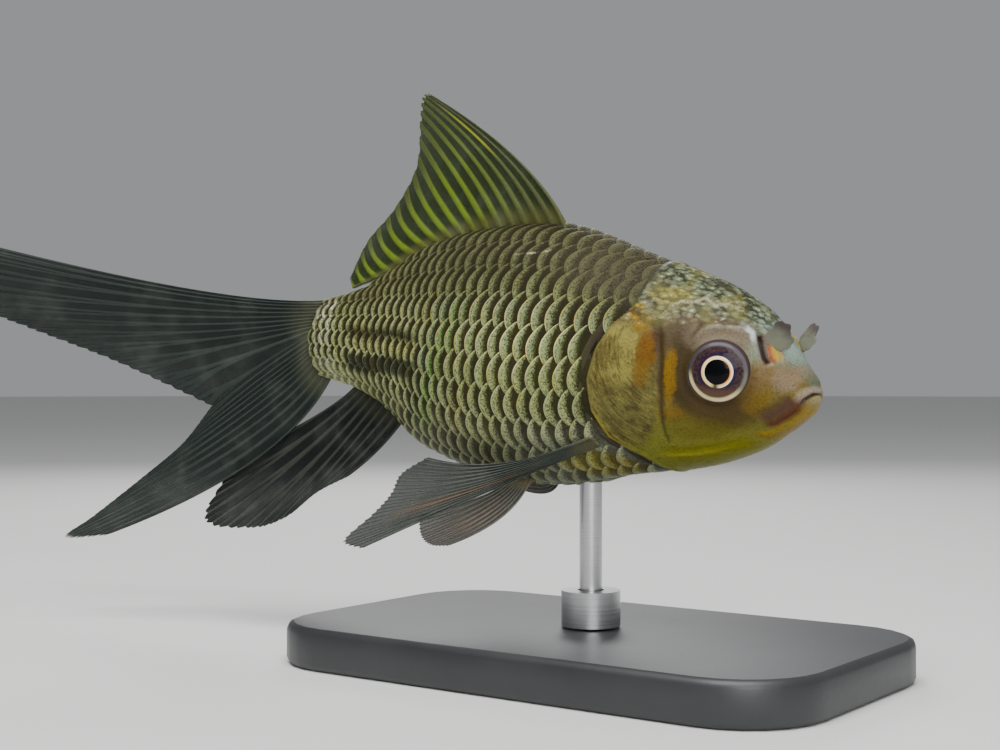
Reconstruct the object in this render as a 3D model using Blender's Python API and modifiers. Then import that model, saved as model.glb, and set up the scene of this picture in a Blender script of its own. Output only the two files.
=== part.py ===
"""Long-finned goldfish of the wild olive-bronze colour, life size, on a plain display stand.

The fish is a still model. It heads along +X, its right side is at -Y, and +Z is up. The origin is the
centre of the underside of the stand's base, straight below the rod. Units are metres.

The flesh is one lofted body, parted by thin cuts into head, lower jaw, two gill covers, trunk and tail
stem. The fins are fans: each is a sheet between a root line and a margin, given a wall thickness.
Lengths along the fish are fractions of its standard length: 0 at the snout and 1 at the tail base.
Heights are fractions of it too, above the fish's own long axis.
"""
import math

import bmesh
import bpy
import numpy as np

# ---------------------------------------------------------------- driving dimensions
STANDARD_LENGTH = 0.085
NOSE_DOWN = math.radians(4.0)
PARTING = 0.0003
FIN_WALL = 0.0006

# station, height of the back, of the belly and of the widest level, and half of the width
PROFILE = np.array([
    (-0.007, 0.012, -0.020, -0.004, 0.028),
    (0.005, 0.030, -0.033, -0.001, 0.040),
    (0.020, 0.047, -0.047, 0.002, 0.050),
    (0.038, 0.070, -0.062, 0.008, 0.063),
    (0.062, 0.103, -0.081, 0.012, 0.081),
    (0.130, 0.152, -0.115, 0.014, 0.112),
    (0.200, 0.179, -0.136, 0.012, 0.130),
    (0.300, 0.212, -0.156, 0.006, 0.142),
    (0.400, 0.244, -0.182, 0.000, 0.148),
    (0.500, 0.258, -0.190, 0.000, 0.148),
    (0.600, 0.252, -0.183, 0.004, 0.136),
    (0.700, 0.232, -0.164, 0.012, 0.108),
    (0.760, 0.212, -0.143, 0.020, 0.086),
    (0.810, 0.188, -0.107, 0.026, 0.070),
    (0.870, 0.152, -0.077, 0.030, 0.056),
    (0.940, 0.122, -0.055, 0.032, 0.046),
    (1.000, 0.104, -0.044, 0.032, 0.036),
    (1.040, 0.088, -0.036, 0.030, 0.026),
])
LIP_TIP = -0.007
BODY_END = 1.04
SNOUT_ROUND = 0.016
TAIL_ROUND = 0.030
RIDGE_POWER = 0.86
KEEL_POWER = 0.94
RING_SIDES = 28
BODY_STATIONS = 44

# outlines of the cuts in side view: station, height
GILL_LINE = ((0.235, 0.300), (0.250, 0.190), (0.260, 0.122), (0.290, 0.092), (0.312, 0.050),
             (0.322, 0.000), (0.315, -0.050), (0.294, -0.090), (0.248, -0.118), (0.215, -0.150),
             (0.200, -0.300))
COVER_OUTLINE = ((0.202, 0.060), (0.218, 0.104), (0.255, 0.116), (0.400, 0.116), (0.400, -0.110),
                 (0.240, -0.104), (0.210, -0.080), (0.200, -0.040))
COVER_INNER_SIDE = 0.0075
JAW_OUTLINE = ((-0.100, -0.002), (0.004, -0.002), (0.024, -0.030), (0.060, -0.060), (0.105, -0.088),
               (0.126, -0.116), (0.130, -0.200), (-0.100, -0.200))
STEM_STATION = 0.830

EYE_SIZE = (0.0042, 0.0042, 0.0021)
EYE_STATION = 0.115
EYE_HEIGHT = 0.0265
EYE_SPREAD = 0.0079
EYE_FORWARD = math.radians(19.0)

FLAP_SIZE = (0.0019, 0.0006, 0.0022)
FLAP_STATION = 0.040
FLAP_HEIGHT = 0.086
FLAP_SPREAD = 0.0042
FLAP_LEAN = math.radians(24.0)
FLAP_TWIST = math.radians(-28.0)

# Fans of the midline fins. Root, middle and margin are crossed by the rays one after another, from
# the leading ray to the last: station, height. The dorsal and anal fins stand on the body's outline.
DORSAL_BASE = (0.478, 0.940)
DORSAL_MIDDLE = ((0.550, 0.372), (0.618, 0.372), (0.690, 0.340), (0.775, 0.290), (0.850, 0.235),
                 (0.905, 0.180), (0.945, 0.136))
DORSAL_MARGIN = ((0.768, 0.478), (0.782, 0.472), (0.788, 0.432), (0.797, 0.350), (0.848, 0.275),
                 (0.908, 0.215), (0.948, 0.144))
ANAL_BASE = (0.806, 0.930)
ANAL_MIDDLE = ((0.850, -0.175), (0.905, -0.190), (0.950, -0.205), (0.990, -0.208), (1.015, -0.180),
               (1.000, -0.120))
ANAL_MARGIN = ((0.915, -0.222), (0.990, -0.262), (1.062, -0.318), (1.150, -0.348), (1.275, -0.343),
               (1.195, -0.205))
UPPER_LOBE_ROOT = ((1.022, 0.100), (1.031, 0.088), (1.038, 0.074), (1.043, 0.060), (1.046, 0.047),
                   (1.046, 0.036))
UPPER_LOBE_MIDDLE = ((1.240, 0.076), (1.290, 0.068), (1.290, 0.050), (1.280, 0.020), (1.240, -0.005),
                     (1.160, -0.020))
UPPER_LOBE_MARGIN = ((1.780, 0.205), (1.825, 0.178), (1.730, 0.075), (1.590, 0.014), (1.430, -0.045),
                     (1.250, -0.110))
LOWER_LOBE_ROOT = ((1.046, 0.025), (1.045, 0.010), (1.042, -0.006), (1.034, -0.022), (1.018, -0.041),
                   (0.988, -0.054))
LOWER_LOBE_MIDDLE = ((1.150, -0.045), (1.180, -0.080), (1.180, -0.115), (1.165, -0.150),
                     (1.135, -0.190), (1.090, -0.230))
LOWER_LOBE_MARGIN = ((1.235, -0.125), (1.315, -0.203), (1.405, -0.283), (1.500, -0.365),
                     (1.552, -0.409), (1.465, -0.396))

# Fans of the right paired fins, from the upper or outer ray to the last: station, height, distance
# out from the middle plane. The left fins are mirrored and held a little closer to the body.
PECTORAL_ROOT = ((0.328, -0.091, 0.120), (0.327, -0.097, 0.117), (0.326, -0.104, 0.113),
                 (0.325, -0.110, 0.109))
PECTORAL_MIDDLE = ((0.460, -0.169, 0.160), (0.473, -0.179, 0.164), (0.486, -0.189, 0.168),
                   (0.496, -0.196, 0.170), (0.505, -0.202, 0.172), (0.510, -0.207, 0.174))
PECTORAL_MARGIN = ((0.608, -0.149, 0.170), (0.656, -0.182, 0.179), (0.670, -0.217, 0.186),
                   (0.701, -0.254, 0.193), (0.756, -0.306, 0.200), (0.713, -0.314, 0.202))
PELVIC_ROOT = ((0.485, -0.187, 0.047), (0.501, -0.189, 0.043), (0.518, -0.190, 0.039),
               (0.534, -0.190, 0.035))
PELVIC_MIDDLE = ((0.488, -0.252, 0.088), (0.515, -0.244, 0.082), (0.541, -0.233, 0.076),
                 (0.563, -0.222, 0.070))
PELVIC_MARGIN = ((0.601, -0.302, 0.108), (0.642, -0.306, 0.106), (0.669, -0.293, 0.100),
                 (0.685, -0.262, 0.088))
LEFT_PECTORAL_FOLD = math.radians(18.0)
LEFT_PELVIC_FOLD = math.radians(36.0)

TAIL_SWING = 0.16
UPPER_CURL = 5.6
LOWER_CURL = 2.8
DORSAL_LEAN = 0.10
ANAL_LEAN = 0.12
ROOT_CLEARANCE = 0.005

BASE_SIZE = (0.084, 0.050, 0.006)
BASE_CORNER = 0.012
BASE_EDGE = 0.0010
ROD_RADIUS = 0.0016
ROD_STATION = 0.405
ROD_DEPTH = 0.0040
COLLAR_RADIUS = 0.0042
COLLAR_HEIGHT = 0.0050
BELLY_CLEARANCE = 0.0200

LOWEST_BELLY = -PROFILE[:, 2].min() * STANDARD_LENGTH
AXIS_HEIGHT = BASE_SIZE[2] + BELLY_CLEARANCE + LOWEST_BELLY
FISH_PLACE = (-(0.5 - ROD_STATION) * STANDARD_LENGTH, 0.0, AXIS_HEIGHT)


# ---------------------------------------------------------------- scene, materials and collections
def clear_scene():
    for thing in list(bpy.data.objects):
        bpy.data.objects.remove(thing, do_unlink=True)


def new_collection(name):
    collection = bpy.data.collections.new(name)
    bpy.context.scene.collection.children.link(collection)
    return collection


def new_material(name, colour, roughness, metallic=0.0):
    material = bpy.data.materials.new(name)
    material.use_nodes = True
    shader = material.node_tree.nodes["Principled BSDF"]
    shader.inputs["Base Color"].default_value = (*colour, 1.0)
    shader.inputs["Roughness"].default_value = roughness
    shader.inputs["Metallic"].default_value = metallic
    return material


def new_object(name, mesh, collection, parent=None):
    thing = bpy.data.objects.new(name, mesh)
    collection.objects.link(thing)
    thing.parent = parent
    return thing


def paint(thing, colour, roughness, metallic=0.0):
    thing.data.materials.clear()
    thing.data.materials.append(new_material(thing.name, colour, roughness, metallic))


def new_cutter(name, mesh, parent):
    cutter = new_object(name, mesh, bpy.data.collections["cutters"], parent)
    cutter.hide_render = True
    cutter.display_type = "WIRE"
    return cutter


def cut(thing, cutter, operation="DIFFERENCE"):
    boolean = thing.modifiers.new(f"{operation.lower()} {cutter.name}", "BOOLEAN")
    boolean.operation = operation
    boolean.object = cutter
    boolean.solver = "EXACT"


# ---------------------------------------------------------------- curves and the body's form
def curve_through(stations, values, at):
    """Values at the given places on the smooth curve through all the stations' values."""
    stations = np.asarray(stations, float)
    values = np.asarray(values, float)
    at = np.asarray(at, float)
    slopes = np.gradient(values, stations, axis=0)
    span = np.clip(np.searchsorted(stations, at, side="right") - 1, 0, len(stations) - 2)
    length = stations[span + 1] - stations[span]
    t = (at - stations[span]) / length
    if values.ndim > 1:
        length = length[:, None]
        t = t[:, None]
    rise = values[span + 1] - values[span]
    start = slopes[span] * length
    end = slopes[span + 1] * length
    return values[span] + t * (start + t * (3 * rise - 2 * start - end + t * (start + end - 2 * rise)))


def along(station):
    """X of a station in the fish's own frame, whose origin is halfway along the standard length."""
    return (0.5 - station) * STANDARD_LENGTH


def end_rounding(station):
    """How full the section is: 1 along the body, falling to 0 at the tip of the lips and tail stem."""
    from_snout = np.clip((station - LIP_TIP) / SNOUT_ROUND, 0.0, 1.0)
    from_end = np.clip((BODY_END - station) / TAIL_ROUND, 0.0, 1.0)
    return np.sqrt(1.0 - (1.0 - from_snout) ** 2) * np.sqrt(1.0 - (1.0 - from_end) ** 2)


def body_rings(stations, sides):
    """Rings of points round the body, from the back over the left side to the belly and up the right."""
    back, belly, level, half_width = curve_through(PROFILE[:, 0], PROFILE[:, 1:], stations).T
    full = end_rounding(stations)
    turn = np.arange(sides) * 2.0 * math.pi / sides
    sine, cosine = np.sin(turn), np.cos(turn)
    reach = np.where(cosine[None, :] > 0.0, (back - level)[:, None], (level - belly)[:, None])
    power = np.where(cosine > 0.0, 2.0 - RIDGE_POWER, 2.0 - KEEL_POWER)
    out = np.sign(sine) * np.abs(sine) ** power
    rings = np.empty((len(stations), sides, 3))
    rings[:, :, 0] = along(stations)[:, None]
    rings[:, :, 1] = (half_width * full)[:, None] * out[None, :] * STANDARD_LENGTH
    rings[:, :, 2] = (level[:, None] + reach * cosine * full[:, None]) * STANDARD_LENGTH
    return rings


def body_stations(count):
    """Stations from the lips to the end of the stem, closer together at both rounded ends."""
    turn = np.linspace(0.0, math.pi, count)
    even = np.linspace(0.0, 1.0, count)
    return LIP_TIP + (BODY_END - LIP_TIP) * (0.6 * (1.0 - np.cos(turn)) / 2.0 + 0.4 * even)


def loft(name, rings, first, last):
    """A closed mesh over rings of points, with a single point at each end."""
    count, sides = rings.shape[:2]
    points = [*rings.reshape(-1, 3), first, last]
    faces = []
    for ring in range(count - 1):
        for side in range(sides):
            beside = (side + 1) % sides
            here, there = ring * sides, (ring + 1) * sides
            faces.append((here + side, here + beside, there + beside, there + side))
    for side in range(sides):
        beside = (side + 1) % sides
        end = (count - 1) * sides
        faces.append((count * sides, beside, side))
        faces.append((count * sides + 1, end + side, end + beside))
    mesh = bpy.data.meshes.new(name)
    mesh.from_pydata([tuple(point) for point in points], [], faces)
    shell = bmesh.new()
    shell.from_mesh(mesh)
    bmesh.ops.recalc_face_normals(shell, faces=shell.faces)
    shell.to_mesh(mesh)
    shell.free()
    mesh.shade_smooth()
    return mesh


def body_mesh():
    stations = body_stations(BODY_STATIONS)
    level = curve_through(PROFILE[:, 0], PROFILE[:, 3], stations[[0, -1]]) * STANDARD_LENGTH
    snout = (along(LIP_TIP), 0.0, level[0])
    stem_end = (along(BODY_END), 0.0, level[1])
    return loft("body", body_rings(stations[1:-1], RING_SIDES), snout, stem_end)


# ---------------------------------------------------------------- cutters in side view
def grown(outline, by):
    """The closed outline with each side moved outwards."""
    points = np.asarray(outline, float)
    before = np.roll(points, 1, axis=0)
    after = np.roll(points, -1, axis=0)
    area = np.sum(before[:, 0] * points[:, 1] - points[:, 0] * before[:, 1])
    into, out_of = points - before, after - points
    normals = [np.stack([side[:, 1], -side[:, 0]], 1) / np.linalg.norm(side, axis=1)[:, None]
               for side in (into, out_of)]
    middle = normals[0] + normals[1]
    middle *= 2.0 / np.sum(middle ** 2, axis=1)[:, None]
    return points + middle * by * math.copysign(1.0, area)


def side_outline(outline):
    """Stations and heights turned into X and Z in metres."""
    return np.array([(along(station), height * STANDARD_LENGTH) for station, height in outline])


def slab(name, outline, near_side, far_side, parent):
    """A cutter that runs across the fish between two distances from its middle plane."""
    curve = bpy.data.curves.new(name, "CURVE")
    curve.dimensions = "2D"
    curve.fill_mode = "BOTH"
    curve.extrude = (far_side - near_side) / 2.0
    spline = curve.splines.new("POLY")
    spline.points.add(len(outline) - 1)
    for point, (x, z) in zip(spline.points, outline):
        point.co = (x, z, 0.0, 1.0)
    spline.use_cyclic_u = True
    drawn = new_object(name, curve, bpy.data.collections["cutters"])
    mesh = bpy.data.meshes.new_from_object(drawn.evaluated_get(bpy.context.evaluated_depsgraph_get()))
    bpy.data.objects.remove(drawn, do_unlink=True)
    shell = bmesh.new()
    shell.from_mesh(mesh)
    bmesh.ops.remove_doubles(shell, verts=shell.verts, dist=1e-6)
    bmesh.ops.recalc_face_normals(shell, faces=shell.faces)
    shell.to_mesh(mesh)
    shell.free()
    cutter = new_cutter(name, mesh, parent)
    cutter.location = (0.0, (near_side + far_side) / 2.0, 0.0)
    cutter.rotation_euler = (math.pi / 2.0, 0.0, 0.0)
    return cutter


def across(name, outline, parent):
    """A cutter through the whole width of the fish."""
    return slab(name, outline, -STANDARD_LENGTH, STANDARD_LENGTH, parent)


def before_gill_line(back_by):
    """Outline of all that lies in front of the gill line, moved back by a distance."""
    line = side_outline(GILL_LINE)
    line[:, 0] -= back_by
    front = along(-0.5)
    return np.vstack([line, (front, line[-1, 1]), (front, line[0, 1])])


def behind_station(station, back_by):
    """Outline of all that lies behind a station."""
    edge = along(station) - back_by
    rear = along(2.0)
    high = STANDARD_LENGTH
    return np.array([(edge, high), (rear, high), (rear, -high), (edge, -high)])


def ball(name, radii, place, turn, parent):
    """A cutter with the form of an ellipsoid."""
    mesh = ellipsoid_mesh(name, radii)
    cutter = new_cutter(name, mesh, parent)
    cutter.location = place
    cutter.rotation_euler = turn
    return cutter


def ellipsoid_mesh(name, radii, segments=20, rings=12):
    mesh = bpy.data.meshes.new(name)
    shell = bmesh.new()
    bmesh.ops.create_uvsphere(shell, u_segments=segments, v_segments=rings, radius=1.0)
    bmesh.ops.scale(shell, vec=radii, verts=shell.verts)
    shell.to_mesh(mesh)
    shell.free()
    mesh.shade_smooth()
    return mesh


# ---------------------------------------------------------------- head
def eye_place(side):
    return (along(EYE_STATION), side * EYE_SPREAD, EYE_HEIGHT * STANDARD_LENGTH)


def eye_turn(side):
    return (math.pi / 2.0, 0.0, -side * EYE_FORWARD)


def flap_place(side):
    return (along(FLAP_STATION), side * FLAP_SPREAD, FLAP_HEIGHT * STANDARD_LENGTH)


def flap_turn(side):
    return (-side * FLAP_LEAN, 0.0, side * FLAP_TWIST)


def widened(radii, by):
    return tuple(radius + by for radius in radii)


def make_head(parts, body, fish):
    head = new_object("head", body.copy(), parts, fish)
    cut(head, across("head region", before_gill_line(0.0), fish), "INTERSECT")
    cut(head, across("jaw room", grown(side_outline(JAW_OUTLINE), PARTING), fish))
    for word, side in (("left", 1), ("right", -1)):
        sides = sorted((side * (COVER_INNER_SIDE - PARTING), side * STANDARD_LENGTH))
        room = grown(side_outline(COVER_OUTLINE), PARTING)
        cut(head, slab(f"{word} cover room", room, *sides, fish))
        eye_room = ball(f"{word} eye room", widened(EYE_SIZE, PARTING), eye_place(side), eye_turn(side), fish)
        cut(head, eye_room)
        flap_room = ball(f"{word} flap room", widened(FLAP_SIZE, PARTING), flap_place(side),
                         flap_turn(side), fish)
        cut(head, flap_room)
    paint(head, (0.16, 0.13, 0.055), 0.35)


def make_jaw(parts, body, fish):
    jaw = new_object("jaw", body.copy(), parts, fish)
    cut(jaw, across("jaw region", side_outline(JAW_OUTLINE), fish), "INTERSECT")
    paint(jaw, (0.30, 0.20, 0.13), 0.40)


def make_gill_cover(parts, body, fish, word, side):
    cover = new_object(f"gill_cover_{word}", body.copy(), parts, fish)
    cut(cover, bpy.data.objects["head region"], "INTERSECT")
    sides = sorted((side * COVER_INNER_SIDE, side * STANDARD_LENGTH))
    cut(cover, slab(f"{word} cover region", side_outline(COVER_OUTLINE), *sides, fish), "INTERSECT")
    paint(cover, (0.36, 0.27, 0.10), 0.30)


def make_eye(parts, fish, word, side):
    eye = new_object(f"eye_{word}", ellipsoid_mesh(f"eye_{word}", EYE_SIZE), parts, fish)
    eye.location = eye_place(side)
    eye.rotation_euler = eye_turn(side)
    paint(eye, (0.020, 0.012, 0.010), 0.08)


def make_nasal_flap(parts, fish, word, side):
    name = f"nasal_flap_{word}"
    flap = new_object(name, ellipsoid_mesh(name, FLAP_SIZE, 12, 8), parts, fish)
    flap.location = flap_place(side)
    flap.rotation_euler = flap_turn(side)
    paint(flap, (0.25, 0.22, 0.18), 0.45)


# ---------------------------------------------------------------- trunk and tail stem
def make_trunk(parts, body, fish):
    trunk = new_object("trunk", body.copy(), parts, fish)
    cut(trunk, across("head room", before_gill_line(PARTING), fish))
    cut(trunk, across("stem room", behind_station(STEM_STATION, 0.0), fish))
    rod_room = new_cutter("rod room", cylinder_mesh("rod room", ROD_RADIUS + PARTING, 0.0, rod_top()), None)
    cut(trunk, rod_room)
    paint(trunk, (0.33, 0.25, 0.10), 0.30)


def make_tail_stem(parts, body, fish):
    stem = new_object("tail_stem", body.copy(), parts, fish)
    cut(stem, across("stem region", behind_station(STEM_STATION, PARTING), fish), "INTERSECT")
    paint(stem, (0.24, 0.18, 0.08), 0.32)


# ---------------------------------------------------------------- fins
def fan_mesh(name, root, middle, margin, rays, rows):
    """An open sheet whose rays run from the root over the middle line's pull to the margin."""
    across_fin = np.linspace(0.0, 1.0, rays)
    start, pull, end = [curve_through(np.linspace(0.0, 1.0, len(line)), line, across_fin)
                        for line in (root, middle, margin)]
    t = np.linspace(0.0, 1.0, rows)[None, :, None]
    sheet = (1 - t) ** 2 * start[:, None] + 2 * t * (1 - t) * pull[:, None] + t ** 2 * end[:, None]
    faces = []
    for ray in range(rays - 1):
        for row in range(rows - 1):
            here, next_ray = ray * rows + row, (ray + 1) * rows + row
            faces.append((here, next_ray, next_ray + 1, here + 1))
    mesh = bpy.data.meshes.new(name)
    mesh.from_pydata([tuple(point) for point in sheet.reshape(-1, 3)], [], faces)
    mesh.shade_smooth()
    return mesh


def make_fin(parts, fish, name, lines, colour, rays=12, rows=7):
    fin = new_object(name, fan_mesh(name, *lines, rays, rows), parts, fish)
    wall = fin.modifiers.new("wall", "SOLIDIFY")
    wall.thickness = FIN_WALL
    wall.offset = 0.0
    paint(fin, colour, 0.45)


def midline(outline, sway):
    """Points in the fish's frame for stations and heights, swayed sideways by a function of both."""
    outline = np.asarray(outline, float)
    points = np.empty((len(outline), 3))
    points[:, 0] = along(outline[:, 0])
    points[:, 1] = sway(outline[:, 0], outline[:, 1])
    points[:, 2] = outline[:, 1] * STANDARD_LENGTH
    return points


def on_outline(ends, column, rise):
    """A fin's root along the back or the belly, just clear of it: stations and heights."""
    stations = np.linspace(*ends, 7)
    heights = curve_through(PROFILE[:, 0], PROFILE[:, column], stations)
    return np.stack([stations, heights + rise], axis=1)


def tail_sway(curl):
    """The tail swings to the right, more and more towards its tips."""
    def sway(station, height):
        past = np.clip((station - BODY_END) * STANDARD_LENGTH, 0.0, None)
        return -TAIL_SWING * past - curl * past ** 2
    return sway


def dorsal_sway(station, height):
    return -DORSAL_LEAN * np.clip(height - 0.28, 0.0, None) * STANDARD_LENGTH


def anal_sway(station, height):
    below_root = np.clip(-0.12 - height, 0.0, None) * STANDARD_LENGTH
    return -ANAL_LEAN * below_root


def paired(outline, hinge, side, fold):
    """Points of a paired fin, swung up towards the body about its hinge by the fold."""
    points = np.asarray(outline, float)
    back, up = points[:, 0] - hinge[0], points[:, 1] - hinge[1]
    stations = hinge[0] + back * math.cos(fold) - up * math.sin(fold)
    heights = hinge[1] + back * math.sin(fold) + up * math.cos(fold)
    return np.stack([along(stations), side * points[:, 2] * STANDARD_LENGTH,
                     heights * STANDARD_LENGTH], axis=1)


def make_midline_fins(parts, fish):
    olive, grey = (0.10, 0.085, 0.055), (0.13, 0.14, 0.13)
    dorsal_root = on_outline(DORSAL_BASE, 1, ROOT_CLEARANCE)
    anal_root = on_outline(ANAL_BASE, 2, -ROOT_CLEARANCE)
    fins = (
        ("dorsal_fin", (dorsal_root, DORSAL_MIDDLE, DORSAL_MARGIN), dorsal_sway, olive, 18, 7),
        ("anal_fin", (anal_root, ANAL_MIDDLE, ANAL_MARGIN), anal_sway, grey, 12, 8),
        ("tail_lobe_upper", (UPPER_LOBE_ROOT, UPPER_LOBE_MIDDLE, UPPER_LOBE_MARGIN),
         tail_sway(UPPER_CURL), grey, 13, 10),
        ("tail_lobe_lower", (LOWER_LOBE_ROOT, LOWER_LOBE_MIDDLE, LOWER_LOBE_MARGIN),
         tail_sway(LOWER_CURL), grey, 13, 10),
    )
    for name, lines, sway, colour, rays, rows in fins:
        swayed = [midline(line, sway) for line in lines]
        make_fin(parts, fish, name, swayed, colour, rays, rows)


def make_paired_fins(parts, fish):
    fins = (
        ("pectoral_fin", (PECTORAL_ROOT, PECTORAL_MIDDLE, PECTORAL_MARGIN), (0.16, 0.15, 0.12),
         LEFT_PECTORAL_FOLD),
        ("pelvic_fin", (PELVIC_ROOT, PELVIC_MIDDLE, PELVIC_MARGIN), (0.20, 0.15, 0.12),
         LEFT_PELVIC_FOLD),
    )
    for name, lines, colour, left_fold in fins:
        for word, side, fold in (("left", 1, left_fold), ("right", -1, 0.0)):
            root = paired(lines[0], lines[0][0], side, 0.0)
            free = [paired(line, lines[0][0], side, fold) for line in lines[1:]]
            make_fin(parts, fish, f"{name}_{word}", (root, *free), colour)


# ---------------------------------------------------------------- display stand
def cylinder_mesh(name, radius, bottom, top, sides=32):
    """An upright closed cylinder between two heights."""
    mesh = bpy.data.meshes.new(name)
    shell = bmesh.new()
    bmesh.ops.create_cone(shell, cap_ends=True, segments=sides, radius1=radius, radius2=radius,
                          depth=top - bottom)
    bmesh.ops.translate(shell, vec=(0.0, 0.0, (top + bottom) / 2.0), verts=shell.verts)
    shell.to_mesh(mesh)
    shell.free()
    mesh.shade_smooth()
    mesh.set_sharp_from_angle(angle=math.radians(40.0))
    return mesh


def rod_top():
    """The rod ends inside the belly, a little above the skin under the rod's station."""
    belly = float(curve_through(PROFILE[:, 0], PROFILE[:, 2], np.array([ROD_STATION]))[0])
    return AXIS_HEIGHT + belly * STANDARD_LENGTH + ROD_DEPTH


def bevelled(thing, width, segments, angle=math.radians(60.0)):
    bevel = thing.modifiers.new("rounded edges", "BEVEL")
    bevel.width = width
    bevel.segments = segments
    bevel.limit_method = "ANGLE"
    bevel.angle_limit = angle


def base_mesh():
    """The base's slab, with its four upright corners rounded."""
    mesh = bpy.data.meshes.new("stand_base")
    shell = bmesh.new()
    bmesh.ops.create_cube(shell, size=1.0)
    bmesh.ops.scale(shell, vec=BASE_SIZE, verts=shell.verts)
    bmesh.ops.translate(shell, vec=(0.0, 0.0, BASE_SIZE[2] / 2.0), verts=shell.verts)
    uprights = [edge for edge in shell.edges
                if abs(edge.verts[0].co.z - edge.verts[1].co.z) > BASE_SIZE[2] / 2.0]
    bmesh.ops.bevel(shell, geom=uprights, offset=BASE_CORNER, segments=6, profile=0.5,
                    affect="EDGES")
    shell.to_mesh(mesh)
    shell.free()
    mesh.shade_smooth()
    mesh.set_sharp_from_angle(angle=math.radians(30.0))
    return mesh


def make_stand(parts):
    base = new_object("stand_base", base_mesh(), parts)
    bevelled(base, BASE_EDGE, 2)
    paint(base, (0.030, 0.030, 0.032), 0.45)
    seat = BASE_SIZE[2] + PARTING
    bore = new_cutter("collar bore", cylinder_mesh("collar bore", ROD_RADIUS + PARTING, 0.0,
                                                   seat + 2.0 * COLLAR_HEIGHT), None)
    collar = new_object("stand_collar", cylinder_mesh("stand_collar", COLLAR_RADIUS, seat,
                                                      seat + COLLAR_HEIGHT), parts)
    cut(collar, bore)
    paint(collar, (0.55, 0.55, 0.56), 0.28, 1.0)
    rod = new_object("stand_rod", cylinder_mesh("stand_rod", ROD_RADIUS, seat, rod_top() - PARTING,
                                                20), parts)
    paint(rod, (0.60, 0.60, 0.61), 0.25, 1.0)


# ---------------------------------------------------------------- the whole model
clear_scene()
goldfish = new_collection("goldfish")
new_collection("cutters")

fish = bpy.data.objects.new("fish_pose", None)
goldfish.objects.link(fish)
fish.location = FISH_PLACE
fish.rotation_euler = (0.0, NOSE_DOWN, 0.0)
bpy.context.view_layer.update()

body = body_mesh()
make_head(goldfish, body, fish)
make_jaw(goldfish, body, fish)
for word, side in (("left", 1), ("right", -1)):
    make_gill_cover(goldfish, body, fish, word, side)
    make_eye(goldfish, fish, word, side)
    make_nasal_flap(goldfish, fish, word, side)
make_trunk(goldfish, body, fish)
make_tail_stem(goldfish, body, fish)
make_midline_fins(goldfish, fish)
make_paired_fins(goldfish, fish)
make_stand(goldfish)
bpy.data.meshes.remove(body)
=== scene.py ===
"""Long-finned goldfish of the wild olive-bronze colour on its display stand: the finish of every surface.

Lengths along the fish are fractions of its standard length, 0 at the snout and 1 at the tail base.
Heights are fractions of it too, above the fish's own long axis. All other sizes are metres.
"""
import math

import bmesh
import bpy
import numpy as np
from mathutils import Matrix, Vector


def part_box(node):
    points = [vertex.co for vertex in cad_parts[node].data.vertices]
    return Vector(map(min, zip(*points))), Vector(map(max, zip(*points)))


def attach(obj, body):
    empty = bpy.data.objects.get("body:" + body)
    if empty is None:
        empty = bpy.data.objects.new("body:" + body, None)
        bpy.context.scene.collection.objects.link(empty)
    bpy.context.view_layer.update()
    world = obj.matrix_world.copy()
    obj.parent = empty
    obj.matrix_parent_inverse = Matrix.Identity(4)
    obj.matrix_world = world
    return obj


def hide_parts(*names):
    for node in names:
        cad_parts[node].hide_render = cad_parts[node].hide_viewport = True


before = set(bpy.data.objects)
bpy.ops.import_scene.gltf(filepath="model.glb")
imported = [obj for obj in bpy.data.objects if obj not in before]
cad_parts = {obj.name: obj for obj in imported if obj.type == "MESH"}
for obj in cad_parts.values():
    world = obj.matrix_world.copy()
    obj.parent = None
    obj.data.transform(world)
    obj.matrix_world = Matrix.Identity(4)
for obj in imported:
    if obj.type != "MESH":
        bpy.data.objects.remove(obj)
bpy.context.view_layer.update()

# ------------------------------------------------------------------------------------ the flesh's form
# The fish is one streamlined body, deepest before the dorsal fin, held level and a little nose down.
# Its section is a tall oval with a soft ridge along the back. Everything on the fish is placed by
# station, height and turn round this form, which is the one that the solids have.
STANDARD_LENGTH = 0.085
NOSE_DOWN = math.radians(4.0)
ROD_STATION = 0.405
BELLY_CLEARANCE = 0.0200
LIP_TIP = -0.007
BODY_END = 1.04
SNOUT_ROUND = 0.016
TAIL_ROUND = 0.030
STEP_ALONG = 0.0008
STEP_ROUND = 0.012
RIDGE_POWER = 0.86
KEEL_POWER = 0.94

# station, height of the back, of the belly and of the widest level, and half of the width
PROFILE = np.array([
    (-0.007, 0.012, -0.020, -0.004, 0.028),
    (0.005, 0.030, -0.033, -0.001, 0.040),
    (0.020, 0.047, -0.047, 0.002, 0.050),
    (0.038, 0.070, -0.062, 0.008, 0.063),
    (0.062, 0.103, -0.081, 0.012, 0.081),
    (0.130, 0.152, -0.115, 0.014, 0.112),
    (0.200, 0.179, -0.136, 0.012, 0.130),
    (0.300, 0.212, -0.156, 0.006, 0.142),
    (0.400, 0.244, -0.182, 0.000, 0.148),
    (0.500, 0.258, -0.190, 0.000, 0.148),
    (0.600, 0.252, -0.183, 0.004, 0.136),
    (0.700, 0.232, -0.164, 0.012, 0.108),
    (0.760, 0.212, -0.143, 0.020, 0.086),
    (0.810, 0.188, -0.107, 0.026, 0.070),
    (0.870, 0.152, -0.077, 0.030, 0.056),
    (0.940, 0.122, -0.055, 0.032, 0.046),
    (1.000, 0.104, -0.044, 0.032, 0.036),
    (1.040, 0.088, -0.036, 0.030, 0.026),
])
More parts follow.
